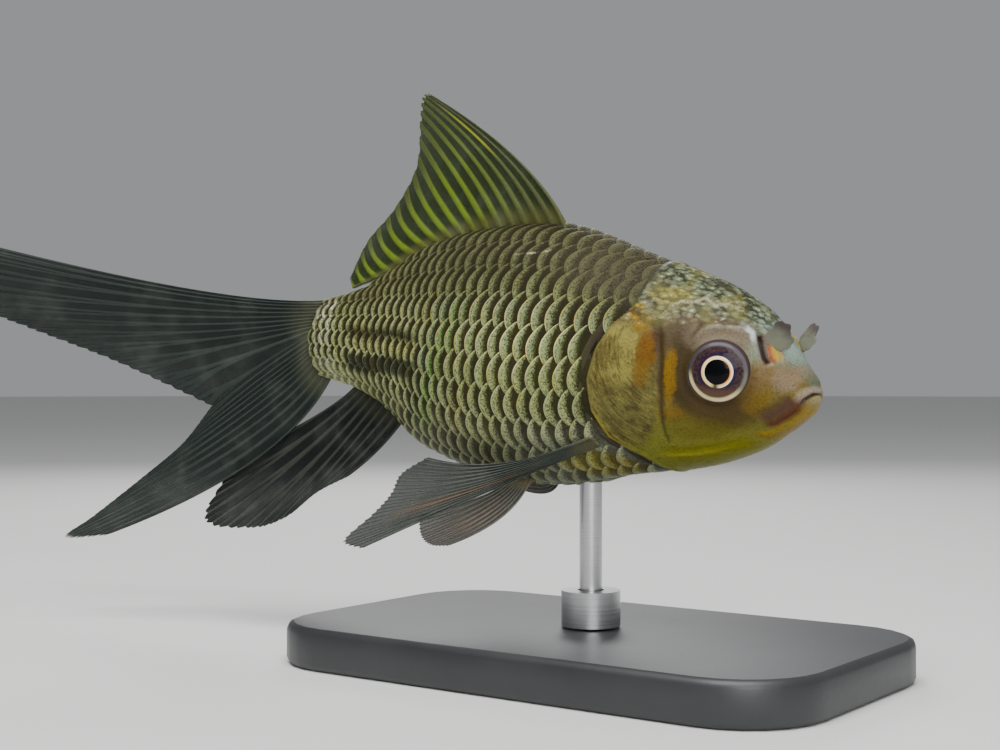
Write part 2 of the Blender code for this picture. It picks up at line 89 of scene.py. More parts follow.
# rear edge of the gill cover, and above it of the smooth skin of the head: station, height
GILL_LINE = np.array([
    (0.235, 0.300), (0.250, 0.190), (0.260, 0.122), (0.290, 0.092), (0.312, 0.050), (0.322, 0.000),
    (0.315, -0.050), (0.294, -0.090), (0.248, -0.118), (0.215, -0.150), (0.200, -0.300),
])
base_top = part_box("stand_base")[1].z
LOWEST_BELLY = -PROFILE[:, 2].min() * STANDARD_LENGTH
FISH_PLACE = Vector((-(0.5 - ROD_STATION) * STANDARD_LENGTH, 0.0, base_top + BELLY_CLEARANCE + LOWEST_BELLY))


def curve_through(stations, values, at):
    """Values at the given places on the smooth curve through all the stations' values."""
    stations = np.asarray(stations, float)
    values = np.asarray(values, float)
    at = np.asarray(at, float)
    slopes = np.gradient(values, stations, axis=0)
    span = np.clip(np.searchsorted(stations, at, side="right") - 1, 0, len(stations) - 2)
    length = stations[span + 1] - stations[span]
    t = (at - stations[span]) / length
    if values.ndim > 1:
        length = length[:, None]
        t = t[:, None]
    rise = values[span + 1] - values[span]
    start = slopes[span] * length
    end = slopes[span + 1] * length
    return values[span] + t * (start + t * (3 * rise - 2 * start - end + t * (start + end - 2 * rise)))


def along(station):
    return (0.5 - station) * STANDARD_LENGTH


def share_along(station):
    """0 at the lips and 1 at the end of the tail stem."""
    return (station - LIP_TIP) / (BODY_END - LIP_TIP)


def eased(value, low, high):
    """0 at the low value and 1 at the high one, with soft ends."""
    t = np.clip((value - low) / (high - low), 0.0, 1.0)
    return t * t * (3.0 - 2.0 * t)


def bell(value, middle, width):
    return np.exp(-((value - middle) / width) ** 2)


def body_points(station, turn):
    """Points of the form in the fish's own frame. Turn 0 is the back and a quarter turn the left flank."""
    back, belly, level, half_width = curve_through(PROFILE[:, 0], PROFILE[:, 1:], station).T
    from_snout = np.clip((station - LIP_TIP) / SNOUT_ROUND, 0.0, 1.0)
    from_end = np.clip((BODY_END - station) / TAIL_ROUND, 0.0, 1.0)
    full = np.sqrt(1.0 - (1.0 - from_snout) ** 2) * np.sqrt(1.0 - (1.0 - from_end) ** 2)
    sine, cosine = np.sin(turn), np.cos(turn)
    reach = np.where(cosine > 0.0, back - level, level - belly)
    power = np.where(cosine > 0.0, 2.0 - RIDGE_POWER, 2.0 - KEEL_POWER)
    points = np.empty((len(station), 3))
    points[:, 0] = along(station)
    points[:, 1] = half_width * full * np.sign(sine) * np.abs(sine) ** power * STANDARD_LENGTH
    points[:, 2] = (level + reach * cosine * full) * STANDARD_LENGTH
    return points


def body_normals(station, turn):
    """Outward directions of the form at the same places."""
    before, behind = [np.clip(station + step, LIP_TIP + 0.0001, BODY_END - 0.0002)
                      for step in (-STEP_ALONG, STEP_ALONG)]
    back_along = body_points(behind, turn) - body_points(before, turn)
    round_it = body_points(station, turn + STEP_ROUND) - body_points(station, turn - STEP_ROUND)
    normals = np.cross(round_it, back_along)
    return normals / np.maximum(np.linalg.norm(normals, axis=1), 1e-12)[:, None]


def turned(points, angle, first, second):
    """Points turned by an angle from the first of two axes towards the second."""
    cosine, sine = math.cos(angle), math.sin(angle)
    result = points.copy()
    result[..., first] = points[..., first] * cosine - points[..., second] * sine
    result[..., second] = points[..., first] * sine + points[..., second] * cosine
    return result


def in_the_room(points):
    """Points in the fish's own frame, tipped nose down and set over the stand."""
    return turned(np.asarray(points, float), -NOSE_DOWN, 0, 2) + np.array(FISH_PLACE)


def behind_gill_line(station, height):
    """Distance behind the gill line, less than 0 on the head."""
    edge = np.interp(-height, -GILL_LINE[:, 1], GILL_LINE[:, 0])
    return (station - edge) * STANDARD_LENGTH


def face_list(*groups, flipped=False):
    """Groups of faces as one list, each face the other way round where they are flipped."""
    return [face[::-1] if flipped else face for group in groups for face in group.tolist()]


def closed_faces(rings, sides):
    """Faces between rings of points, and from two end points after them to the first and the last ring."""
    step = np.arange(sides)
    beside = (step + 1) % sides
    here = np.arange(rings - 1)[:, None] * sides
    there = here + sides
    between = np.stack([here + step, here + beside, there + beside, there + step], axis=-1).reshape(-1, 4)
    start = np.full(sides, rings * sides)
    last = (rings - 1) * sides
    ends = np.stack([start, beside, step, start + 1, last + step, last + beside], axis=-1).reshape(-1, 3)
    return between, ends


def new_piece(name, points, faces, smooth=True):
    mesh = bpy.data.meshes.new(name)
    mesh.from_pydata(np.asarray(points).tolist(), [], faces)
    if smooth:
        mesh.shade_smooth()
    piece = bpy.data.objects.new(name, mesh)
    bpy.context.scene.collection.objects.link(piece)
    return piece


def set_field(piece, name, values):
    """Stores a number, or three, for each point of a piece, for its material to read."""
    values = np.asarray(values, np.float32)
    if values.ndim == 1:
        piece.data.attributes.new(name, "FLOAT", "POINT").data.foreach_set("value", values)
    else:
        piece.data.attributes.new(name, "FLOAT_VECTOR", "POINT").data.foreach_set("vector", values.ravel())


def set_bake_map(piece, places):
    """The map through which the piece's finish is baked, from one place for each face corner."""
    layer = piece.data.uv_layers.new(name="OFBake")
    layer.data.foreach_set("uv", np.asarray(places, np.float32).ravel())


# ------------------------------------------------------------------------------------ the skin
# A bare wet skin covers the whole fish. On the head it lies on the bone: lips, nostrils, the ring
# round the eye, the cheek plate and the gill cover, whose free rear edge stands off the shoulder.
# Behind the gill line it sinks by the depth of the scales that grow from it.
SCALE_DEPTH = 0.00052
HEAD_END = 0.36
HEAD_RINGS = 250
TRUNK_RINGS = 150
SKIN_SIDES = 240

EYE_STATION = 0.115
EYE_HEIGHT = 0.0265
EYE_FORWARD = math.radians(19.0)
ORBIT_STATION = 0.1122
ORBIT_RADIUS = 0.00372
ORBIT_DEPTH = 0.0016
SHOULDER_STEP = 0.00024
MOUTH_LINE = ((-0.0100, 0.0012), (-0.0053, 0.0008), (-0.0032, -0.0028), (0.0010, -0.0080), (0.0045, -0.0150),
              (0.0125, -0.0265), (0.0250, -0.0370), (0.0400, -0.0478), (0.0560, -0.0560))
CHEEK_LINE = ((0.2165, 0.0947), (0.2061, 0.0718), (0.1991, 0.0431), (0.1970, 0.0157), (0.1942, -0.0139),
              (0.1956, -0.0405), (0.1977, -0.0688), (0.1950, -0.0850))
NOSTRIL_LINE = ((0.0707, 0.0862), (0.0645, 0.0752), (0.0596, 0.0639), (0.0540, 0.0511), (0.0463, 0.0407))
BROW_LINE = ((0.1620, 0.0600), (0.1586, 0.0760), (0.1503, 0.0949), (0.1300, 0.1030), (0.1042, 0.1030),
             (0.0917, 0.0970), (0.0791, 0.0880), (0.0730, 0.0740), (0.0670, 0.0580), (0.0590, 0.0440))
CANAL_LINE = ((0.2050, 0.1180), (0.1940, 0.1310), (0.1760, 0.1300), (0.1610, 0.1380), (0.1430, 0.1270),
              (0.1230, 0.1310), (0.1080, 0.1220))
THROAT_LINE = ((0.2300, -0.1120), (0.2100, -0.1090), (0.1880, -0.1060), (0.1650, -0.1030), (0.1400, -0.0970),
               (0.1100, -0.0890), (0.0870, -0.0820))
# length of the folds over the body's length, and their share
WRINKLES = ((0.020, 0.30), (0.012, 0.30), (0.0075, 0.25), (0.0048, 0.15))
WAVES_PER_SIZE = 5


def off_line(station, height, line):
    """How far places lie from a line drawn in side view, and how far along it, from 0 to 1."""
    places = np.stack([station, height], axis=1)
    line = np.asarray(line, float)
    lengths = np.linalg.norm(np.diff(line, axis=0), axis=1)
    starts = np.concatenate([[0.0], np.cumsum(lengths)]) / lengths.sum()
    nearest = np.full(len(places), np.inf)
    share = np.zeros(len(places))
    side = np.zeros(len(places))
    for first, last, length, begin in zip(line[:-1], line[1:], lengths, starts):
        step = (last - first) / length
        away = places - first
        reach = np.clip(away @ step, 0.0, length)
        gap = away - reach[:, None] * step
        distance = np.linalg.norm(gap, axis=1)
        closer = distance < nearest
        nearest = np.where(closer, distance, nearest)
        share = np.where(closer, begin + reach / lengths.sum(), share)
        side = np.where(closer, np.sign(step[0] * away[:, 1] - step[1] * away[:, 0]), side)
    return nearest * side * STANDARD_LENGTH, share


def from_eye(station, height):
    """Distance from the middle of the eye's opening, measured over the slanting side of the head."""
    back = (station - ORBIT_STATION) / math.cos(EYE_FORWARD)
    return np.hypot(back, height - EYE_HEIGHT) * STANDARD_LENGTH


def wrinkles(station, turn):
    """Fine uneven folds of loose skin, about between -1 and 1."""
    rng = np.random.default_rng(7)
    total = np.zeros(len(station))
    for size, weight in WRINKLES:
        for _ in range(WAVES_PER_SIZE):
            heading = rng.uniform(0.0, math.pi)
            way = (station * math.cos(heading) + turn * 0.11 * math.sin(heading)) * 2.0 * math.pi / size
            bend = 1.1 * np.sin(way * 0.37 + rng.uniform(0.0, 6.3) + station * 130.0)
            total += weight / WAVES_PER_SIZE * np.sin(way + bend + rng.uniform(0.0, 6.3))
    return total * 2.2


def stretch(share, start, full, fading, end):
    """1 along a stretch of a line, and 0 before its start and after its end."""
    return eased(share, start, full) * (1.0 - eased(share, fading, end))


def folds(distance, *forms):
    """Ridges and grooves beside a line: how far off it each lies, its height and its width, in metres."""
    return sum(height * bell(distance, offset, width) for offset, height, width in forms)


def head_relief(station, height, turn):
    """How far the head's skin stands above the plain form."""
    crown = eased(height, 0.085, 0.125) * eased(station, 0.060, 0.100)
    loose = (0.25 + 0.75 * crown) * eased(station, 0.01, 0.05)
    relief = 0.00007 * loose * wrinkles(station, turn) - 0.00005

    mouth, share = off_line(station, height, MOUTH_LINE)
    slit = 1.0 - eased(share, 0.17, 0.30)
    relief += slit * folds(mouth, (0.0, -0.00040, 0.00014), (0.00050, 0.00010, 0.00040),
                           (-0.00046, 0.00010, 0.00036), (0.00125, -0.00007, 0.00036))
    jaw_fold = stretch(share, 0.15, 0.30, 0.80, 1.0)
    relief += jaw_fold * folds(mouth, (-0.00005, -0.00024, 0.00022), (0.00045, 0.00016, 0.00040),
                               (0.00150, -0.00018, 0.00045), (-0.00060, 0.00014, 0.00045))

    past_orbit = from_eye(station, height) - ORBIT_RADIUS
    relief += folds(past_orbit, (0.00022, 0.00020, 0.00024), (0.00110, -0.00012, 0.00050))
    relief -= ORBIT_DEPTH * (1.0 - eased(past_orbit, -0.00045, 0.00002))

    nostril, share = off_line(station, height, NOSTRIL_LINE)
    relief += stretch(share, 0.0, 0.12, 0.88, 1.0) * folds(nostril, (0.0, -0.00075, 0.00024),
                                                           (-0.00060, 0.00022, 0.00032))
    brow, share = off_line(station, height, BROW_LINE)
    relief += stretch(share, 0.45, 0.62, 0.90, 1.0) * folds(brow, (0.0, 0.00022, 0.00036))
    relief += stretch(share, 0.0, 0.15, 0.60, 0.72) * folds(brow, (0.0, -0.00020, 0.00026),
                                                            (0.00060, 0.00012, 0.00045))
    canal = off_line(station, height, CANAL_LINE)[0]
    relief += folds(canal, (0.0, 0.00010, 0.00022))

    cheek, share = off_line(station, height, CHEEK_LINE)
    plate_edge = folds(cheek, (0.0, -0.00015, 0.00036)) + folds(np.abs(cheek), (0.00075, 0.00008, 0.00045))
    relief += eased(share, 0.0, 0.25) * (1.0 - 0.6 * eased(share, 0.7, 1.0)) * plate_edge

    throat, share = off_line(station, height, THROAT_LINE)
    relief += stretch(share, 0.0, 0.2, 0.85, 1.0) * folds(throat, (0.00025, 0.00010, 0.00034),
                                                          (-0.00030, -0.00013, 0.00030))
    return relief


def skin_relief(station, height, turn):
    """Relief of the whole skin: the head's forms, the step at the gill cover, and the scale bed."""
    behind = behind_gill_line(station, height)
    nape = eased(height, 0.095, 0.135)
    groove = folds(behind, (0.00034, -0.00050, 0.00030)) * (1.0 - nape)
    shoulder = -SHOULDER_STEP - (SCALE_DEPTH - SHOULDER_STEP) * eased(behind, 0.0012, 0.0030)
    shoulder = shoulder * (1.0 - nape) + nape * -SCALE_DEPTH * eased(behind, -0.0004, 0.0015)
    edge = folds(behind, (-0.0006, 0.00012, 0.0005)) * (1.0 - nape)
    on_head = 1.0 - eased(behind, 0.00002, 0.00030)
    return on_head * (head_relief(station, height, turn) + edge) + (1.0 - on_head) * shoulder + groove


def skin_mesh():
    """The skin as rings round the body, closest together on the head, with what its finish reads."""
    share = np.arange(1, HEAD_RINGS + 1) / HEAD_RINGS
    head = LIP_TIP + (HEAD_END - LIP_TIP) * share ** 1.45
    share = np.arange(1, TRUNK_RINGS + 1) / (TRUNK_RINGS + 1)
    trunk = HEAD_END + (BODY_END - HEAD_END) * (1.0 - (1.0 - share) ** 1.2)
    rings = np.concatenate([head, trunk])
    station = np.repeat(rings, SKIN_SIDES)
    turn = np.tile(np.arange(SKIN_SIDES) * 2.0 * math.pi / SKIN_SIDES, len(rings))
    points = body_points(station, turn)
    height = points[:, 2] / STANDARD_LENGTH
    points += body_normals(station, turn) * skin_relief(station, height, turn)[:, None]
    ends = body_points(np.array([LIP_TIP + 0.0001, BODY_END - 0.0004]), np.full(2, math.pi / 2))
    ends[:, 1] = 0.0
    ends[0, 2] = points[:SKIN_SIDES, 2].mean()
    ends[0, 0] = points[:SKIN_SIDES, 0].max()
    points = np.vstack([points, ends])
    station = np.concatenate([station, [LIP_TIP, BODY_END]])
    turn = np.concatenate([turn, [0.0, 0.0]])
    between, caps = closed_faces(len(rings), SKIN_SIDES)
    skin = new_piece("skin", in_the_room(points), face_list(between, caps))

    places = np.stack([turn / (2.0 * math.pi), share_along(station)], axis=1)
    on_map, caps_on_map = places[between], places[caps]
    on_map[SKIN_SIDES - 1::SKIN_SIDES, 1:3, 0] += 1.0
    caps_on_map[:, 0, 0] = np.repeat((np.arange(SKIN_SIDES) + 0.5) / SKIN_SIDES, 2)
    caps_on_map[-2, 1, 0] += 1.0
    caps_on_map[-1, 2, 0] += 1.0
    set_bake_map(skin, np.concatenate([on_map.reshape(-1, 2), caps_on_map.reshape(-1, 2)]))
    height = points[:, 2] / STANDARD_LENGTH
    set_field(skin, "rise", np.cos(turn))
    set_field(skin, "behind_gill", behind_gill_line(station, height) * 1000.0)
    set_field(skin, "from_eye", from_eye(station, height) * 1000.0)
    set_field(skin, "wrinkle", wrinkles(station, turn))
    for name, line in (("mouth", MOUTH_LINE), ("cheek", CHEEK_LINE), ("nostril", NOSTRIL_LINE),
                       ("brow", BROW_LINE), ("canal", CANAL_LINE), ("throat", THROAT_LINE)):
        distance, share = off_line(station, height, line)
        set_field(skin, f"{name}_line", np.stack([distance * 1000.0, share, np.zeros(len(share))], axis=1))
    return skin


skin = skin_mesh()


class Signal:
    """One socket of a material's node tree. Sums on it add Math nodes to the same tree."""

    def __init__(self, tree, socket=None):
        self.tree = tree
        self.socket = socket

    def node(self, kind, settings=None, inputs=None, output=0):
        """Adds any node: its settings first, then the values or links of its sockets."""
        made = self.tree.nodes.new(kind)
        for name, value in (settings or {}).items():
            setattr(made, name, value)
        for name, value in (inputs or {}).items():
            if isinstance(value, Signal):
                self.tree.links.new(value.socket, made.inputs[name])
            else:
                made.inputs[name].default_value = value
        return Signal(self.tree, made.outputs[output])

    def also(self, output):
        """Another output of the same node."""
        return Signal(self.tree, self.socket.node.outputs[output])

    def math(self, operation, first, second=0.0):
        return self.node("ShaderNodeMath", {"operation": operation}, {0: first, 1: second})

    def __add__(self, other):
        return self.math("ADD", self, other)

    def __radd__(self, other):
        return self.math("ADD", other, self)

    def __sub__(self, other):
        return self.math("SUBTRACT", self, other)

    def __rsub__(self, other):
        return self.math("SUBTRACT", other, self)

    def __mul__(self, other):
        return self.math("MULTIPLY", self, other)

    def __truediv__(self, other):
        return self.math("DIVIDE", self, other)

    def __pow__(self, other):
        return self.math("POWER", self, other)

    def __abs__(self):
        return self.math("ABSOLUTE", self)

    def most(self, other):
        return self.math("MAXIMUM", self, other)

    def least(self, other):
        return self.math("MINIMUM", self, other)

    def sine(self):
        return self.math("SINE", self)

    def eased(self, low, high):
        """0 at the low value and 1 at the high one, with soft ends; falling where low is above high."""
        return self.node("ShaderNodeMapRange", {"interpolation_type": "SMOOTHSTEP"},
                         {"Value": self, "From Min": low, "From Max": high})

    def near(self, middle, width):
        """1 at the middle value, falling to 0 at the width on both sides."""
        return abs(self - middle).eased(width, 0.0)

    def between(self, first, second):
        """The first colour where this mask is 0 and the second where it is 1."""
        return self.node("ShaderNodeMix", {"data_type": "RGBA"}, {0: self, 6: first, 7: second}, 2)

    def field(self, name, output="Fac"):
        return self.node("ShaderNodeAttribute", {"attribute_name": name}, output=output)

    def grain(self, scale, detail=2.0, roughness=0.5, place=None):
        inputs = {"Scale": scale, "Detail": detail, "Roughness": roughness}
        inputs["Vector"] = place or self.object_place()
        return self.node("ShaderNodeTexNoise", None, inputs)

    def cells(self, scale, place):
        """Rounded cells of random shape: 0 in the middle of each, about 1 on the creases between them."""
        inputs = {"Vector": place, "Scale": scale}
        return self.node("ShaderNodeTexVoronoi", {"feature": "F1"}, inputs)

    def object_place(self):
        return self.node("ShaderNodeTexCoord", output="Object")


def display(red, green, blue):
    """A colour given as it looks on a screen, from 0 to 255, as the linear colour that a shader takes."""
    steps = [value / 255.0 for value in (red, green, blue)]
    linear = [((step + 0.055) / 1.055) ** 2.4 if step > 0.04 else step / 12.92 for step in steps]
    return (*linear, 1.0)


def pigment(red, green, blue):
    """The same for a colour of the fish's skin, which is laid on deeper and stronger than it looks."""
    linear = display(red, green, blue)[:3]
    grey = sum(linear) / 3.0
    return (*[max(0.0, 0.62 * (grey + 1.20 * (value - grey))) for value in linear], 1.0)


def new_finish(name, roughness, coat=0.0, coat_roughness=0.05, metallic=0.0, specular=0.5):
    """A material, its shader, and a signal to start its sums from."""
    finish = bpy.data.materials.new(name)
    finish.use_nodes = True
    shader = finish.node_tree.nodes["Principled BSDF"]
    shader.inputs["Roughness"].default_value = roughness
    shader.inputs["Coat Weight"].default_value = coat
    shader.inputs["Coat Roughness"].default_value = coat_roughness
    shader.inputs["Metallic"].default_value = metallic
    shader.inputs["Specular IOR Level"].default_value = specular
    return finish, shader, Signal(finish.node_tree)


def feed(shader, name, signal):
    signal.tree.links.new(signal.socket, shader.inputs[name])


def feed_bump(shader, height, depth, strength=1.0):
    """Fine relief: the height signal from 0 to 1 is worth the depth."""
    bump = height.node("ShaderNodeBump", None, {"Height": height, "Distance": depth, "Strength": strength})
    feed(shader, "Normal", bump)


def fish_signals(start):
    """Station, height and distance to the left of the point that is shaded."""
    laid_level = {"Vector": start.object_place(), "Location": FISH_PLACE, "Rotation": (0.0, NOSE_DOWN, 0.0)}
    own = start.node("ShaderNodeMapping", {"vector_type": "TEXTURE"}, laid_level)
    forward = start.node("ShaderNodeSeparateXYZ", None, {"Vector": own}, "X")
    return 0.5 - forward / STANDARD_LENGTH, forward.also("Z") / STANDARD_LENGTH, forward.also("Y")


def patch(station, height, middle, reach, soft=0.6):
    """An oval patch in side view: 1 inside and 0 outside, with a soft border."""
    across = (station - middle[0]) / reach[0]
    up = (height - middle[1]) / reach[1]
    return (across * across + up * up).eased(1.0 + soft, 1.0 - soft)


def line_field(start, name):
    """Distance in millimetres from one of the head's lines, and the share of the way along it."""
    distance = start.node("ShaderNodeSeparateXYZ", None, {"Vector": start.field(name, "Vector")})
    return distance, distance.also("Y")


BACK_OLIVE = pigment(68, 68, 52)
UPPER_FLANK = pigment(88, 94, 64)
FLANK_GOLD = pigment(158, 171, 112)
LOW_FLANK = pigment(184, 189, 146)
BELLY_SILVER = pigment(182, 188, 172)
REAR_BELLY = pigment(104, 108, 98)
BREAST_YELLOW = pigment(186, 168, 66)


def body_tones(start, station, height, left, rise):
    """The body's own markings, shared by the skin and the scales: dark back, gold flank, silver belly.

    Rise is 1 on the ridge of the back and -1 on the keel. With the tone comes the mask of the tail
    stem's dark bands, where the scales lose their bright rims.
    """
    blotch = start.grain(230.0, 3.0, 0.6)
    shifted = rise + (blotch - 0.5) * 0.35
    tone = shifted.eased(-0.55, -0.15).between(LOW_FLANK, FLANK_GOLD)
    tone = (shifted.eased(-0.36, -0.62) * station.eased(0.56, 0.42)).between(tone, BELLY_SILVER)
    rear_belly = shifted.eased(-0.46, -0.74) * station.eased(0.42, 0.56) * station.eased(0.90, 0.80)
    tone = rear_belly.between(tone, REAR_BELLY)
    tone = shifted.eased(0.15, 0.46).between(tone, UPPER_FLANK)
    tone = shifted.eased(0.46, 0.80).between(tone, BACK_OLIVE)
    tone = (station.eased(0.72, 0.86) * 0.40).between(tone, pigment(122, 122, 78))
    slant = station + height * 0.45
    on_flank = shifted.eased(0.55, 0.25) * shifted.eased(-0.80, -0.55)
    tone = (slant.near(0.645, 0.036) * on_flank * 0.85).between(tone, pigment(98, 162, 66))
    tone = (slant.near(0.680, 0.034) * on_flank * 0.75).between(tone, pigment(62, 104, 88))
    stem = station.eased(0.68, 0.72) * station.eased(0.935, 0.895)
    wave = height + (station * 46.0).sine() * 0.002
    tone = (stem * wave.near(0.024, 0.014) * 0.70).between(tone, pigment(196, 186, 120))
    low_band = stem * wave.eased(0.012, 0.002) * wave.eased(-0.034, -0.018)
    high_band = stem * wave.near(0.047, 0.022)
    tone = (low_band * 0.90).between(tone, pigment(50, 58, 54))
    tone = (high_band * 0.90).between(tone, pigment(52, 52, 42))
    under_fin = rise.eased(0.86, 0.94) * station.eased(0.44, 0.48) * station.eased(0.86, 0.82)
    tone = under_fin.between(tone, pigment(52, 52, 38))
    tone = (station.near(0.935, 0.040) * rise.eased(0.9, 0.4) * 0.55).between(tone, pigment(178, 192, 112))
    flecks = start.grain(520.0, 3.0, 0.7)
    ragged = (blotch - 0.5) * 0.08 + (flecks - 0.5) * 0.10
    root = (station + height.least(0.0) * -1.1 + ragged).eased(0.945, 0.965)
    root = root * rise.eased(0.98, 0.70) * rise.eased(-0.98, -0.85) * station.eased(1.020, 1.004)
    root = root * (flecks.eased(0.40, 0.54) * 0.85 + 0.15)
    tone = root.between(tone, display(222, 224, 186))
    tone = (station.eased(1.004, 1.018) * 0.85).between(tone, pigment(62, 66, 54))
    breast = patch(station + (blotch - 0.5) * 0.03, height, (0.335, -0.135), (0.070, 0.022))
    tone = (breast * 0.8).between(tone, BREAST_YELLOW)
    scratch = abs(height + station * 0.148 - 0.2695 + (blotch - 0.5) * 0.010).eased(0.0026, 0.0008)
    scratch = scratch * station.near(0.472, 0.050) * left.eased(0.0, -0.001)
    tone = (scratch * 0.8).between(tone, display(196, 190, 160))
    return tone, low_band.most(high_band)


def head_tones(start, station, height, rise):
    """The head's markings: olive-grey crown, khaki cheeks, orange flecks, yellow throat, rosy lips.
    Some of it is painted light: shade in the mouth's slit and jaw fold, the nostrils, the brow's crease,
    the crown's folds and below the eye; highlights on the lips, the brow ridge and the crown; a sheen on
    the top of the snout.

    With the tone comes the height of the crown's fine folds, from 0 to 1.
    """
    mottle = start.grain(900.0, 4.0, 0.65)
    cloud = start.grain(260.0, 3.0, 0.55)
    fine = start.grain(2300.0, 3.0, 0.7)
    wrinkle = start.field("wrinkle")
    level = height + (cloud - 0.5) * 0.030
    tone = level.eased(-0.110, -0.070).between(pigment(138, 140, 70), pigment(132, 130, 66))
    tone = level.eased(-0.065, -0.015).between(tone, pigment(122, 108, 60))
    tone = level.eased(0.045, 0.085).between(tone, pigment(124, 108, 80))
    tone = level.eased(0.095, 0.125).between(tone, pigment(124, 126, 98))
    crown = rise.eased(0.62, 0.90)
    tone = crown.between(tone, pigment(114, 122, 98))
    # The top of the snout: pale bluish skin, partly a painted sheen.
    snout = station.eased(0.110, 0.040) * level.eased(0.02, 0.07)
    tone = (snout * 0.90).between(tone, pigment(160, 178, 168))

    cover = patch(station, height, (0.262, -0.004), (0.060, 0.100), 0.25)
    tone = (cover * 0.95).between(tone, pigment(120, 115, 70))
    shine = patch(station + (mottle - 0.5) * 0.03, height + (cloud - 0.5) * 0.03, (0.268, 0.050),
                  (0.032, 0.048), 0.7)
    tone = (shine * 0.80).between(tone, pigment(164, 154, 94))
    tone = (cover * cloud.eased(0.52, 0.38) * 0.60).between(tone, pigment(78, 68, 40))
    tone = (cover * mottle.eased(0.48, 0.34) * 0.55).between(tone, pigment(66, 54, 28))
    arc = ((station - 0.180) ** 2.0 + (height - 0.060) ** 2.0) ** 0.5
    swept = start.node("ShaderNodeCombineXYZ", None,
                       {"X": arc * 260.0, "Y": station * 40.0, "Z": height * 40.0})
    streak = start.grain(1.0, 3.0, 0.65, swept)
    tone = (cover * streak.eased(0.50, 0.66) * 0.50).between(tone, pigment(160, 150, 88))
    tone = (cover * streak.eased(0.48, 0.34) * 0.60).between(tone, pigment(70, 60, 34))

    for middle, reach, colour, weight in (
            ((0.112, -0.028), (0.056, 0.034), pigment(72, 55, 32), 0.85),
            ((0.164, 0.030), (0.026, 0.062), pigment(56, 44, 27), 0.90),
            ((0.190, 0.076), (0.020, 0.024), pigment(74, 62, 44), 0.80),
            ((0.236, 0.140), (0.016, 0.022), pigment(108, 98, 70), 0.60),
            ((0.183, 0.014), (0.010, 0.042), pigment(142, 110, 32), 0.85),
            ((0.181, -0.046), (0.022, 0.012), pigment(128, 94, 36), 0.60),
            ((0.150, -0.062), (0.050, 0.016), pigment(108, 98, 42), 0.60),
            ((0.222, 0.056), (0.020, 0.030), pigment(122, 84, 38), 0.85),
            ((0.230, 0.016), (0.014, 0.022), pigment(126, 96, 44), 0.70),
            ((0.256, 0.112), (0.012, 0.014), pigment(206, 164, 44), 0.95),
            ((0.240, 0.096), (0.016, 0.014), pigment(150, 116, 40), 0.80),
            ((0.214, 0.140), (0.028, 0.012), pigment(166, 152, 66), 0.70),
            ((0.118, 0.078), (0.048, 0.024), pigment(124, 112, 94), 0.85),
            ((0.062, -0.012), (0.020, 0.024), pigment(124, 100, 42), 0.75),
            ((0.058, 0.024), (0.020, 0.022), pigment(124, 100, 66), 0.80),
            ((0.024, 0.022), (0.018, 0.022), pigment(142, 124, 104), 0.80),
            ((0.046, 0.052), (0.010, 0.012), pigment(188, 162, 136), 0.60)):
        spot = patch(station + (mottle - 0.5) * 0.022, height + (cloud - 0.5) * 0.020, middle, reach, 0.75)
        tone = (spot * weight).between(tone, colour)

    throat, share = line_field(start, "throat_line")
    streak_on = share.eased(0.0, 0.30)
    tone = (throat.near(0.1, 1.7) * streak_on * 0.75).between(tone, pigment(136, 130, 34))
    bright_core = throat.near(0.20, 0.36) * streak_on * share.eased(0.85, 0.55)
    tone = (bright_core * 0.60).between(tone, pigment(180, 174, 84))

    mouth, share = line_field(start, "mouth_line")
    band_on = share.eased(0.16, 0.30) * share.eased(1.02, 0.84)
    # A dark red-brown band along the fold between the jaws: reddish skin with painted shade in the fold.
    tone = (mouth.near(1.05, 1.70) * band_on * 0.92).between(tone, pigment(84, 58, 50))
    tone = (mouth.near(0.16, 0.75) * band_on * 0.80).between(tone, pigment(100, 48, 34))
    jaw_on = share.eased(0.20, 0.32)
    tone = (mouth.near(-0.95, 0.95) * jaw_on * 0.85).between(tone, pigment(144, 118, 54))
    jaw_flecks = mouth.near(-0.60, 0.45) * jaw_on * (mottle * 1.4).least(1.0)
    tone = (jaw_flecks * 0.50).between(tone, pigment(192, 160, 62))
    # Pale lips, their paleness partly a painted highlight on the lips' rims.
    lips_on = share.eased(0.34, 0.06)
    tone = (mouth.near(0.50, 0.80) * lips_on * 0.75).between(tone, pigment(184, 168, 156))
    tone = (mouth.near(-0.55, 0.70) * lips_on * 0.85).between(tone, pigment(194, 182, 138))
    # Painted shade in the mouth's slit.
    slit = abs(mouth).eased(0.24, 0.08) * share.eased(0.30, 0.20)
    tone = (slit * 0.85).between(tone, pigment(78, 62, 60))

    nostril, share = line_field(start, "nostril_line")
    ends = share.eased(0.0, 0.10) * share.eased(1.0, 0.90)
    tone = (nostril.near(-0.90, 0.60) * ends * 0.95).between(tone, pigment(226, 190, 96))
    tone = (nostril.near(-0.46, 0.34) * ends * 0.85).between(tone, pigment(168, 84, 24))
    # Painted shade in the nostril's pit.
    tone = (nostril.near(0.06, 0.50) * ends).between(tone, pigment(58, 34, 40))

    brow, share = line_field(start, "brow_line")
    # A painted highlight along the top of the brow ridge.
    ridge = share.eased(0.52, 0.60) * share.eased(0.84, 0.72)
    tone = (abs(brow).eased(0.42, 0.08) * ridge * 0.80).between(tone, display(186, 194, 190))
    # Painted shade in the brow's crease, and a painted highlight on the fold above it.
    crease = share.eased(0.02, 0.15) * share.eased(0.66, 0.56)
    tone = (brow.near(0.0, 0.46) * crease * 0.75).between(tone, pigment(72, 56, 46))
    above_crease = brow.near(0.66, 0.46) * crease * share.eased(0.20, 0.40)
    tone = (above_crease * 0.45).between(tone, pigment(178, 174, 156))

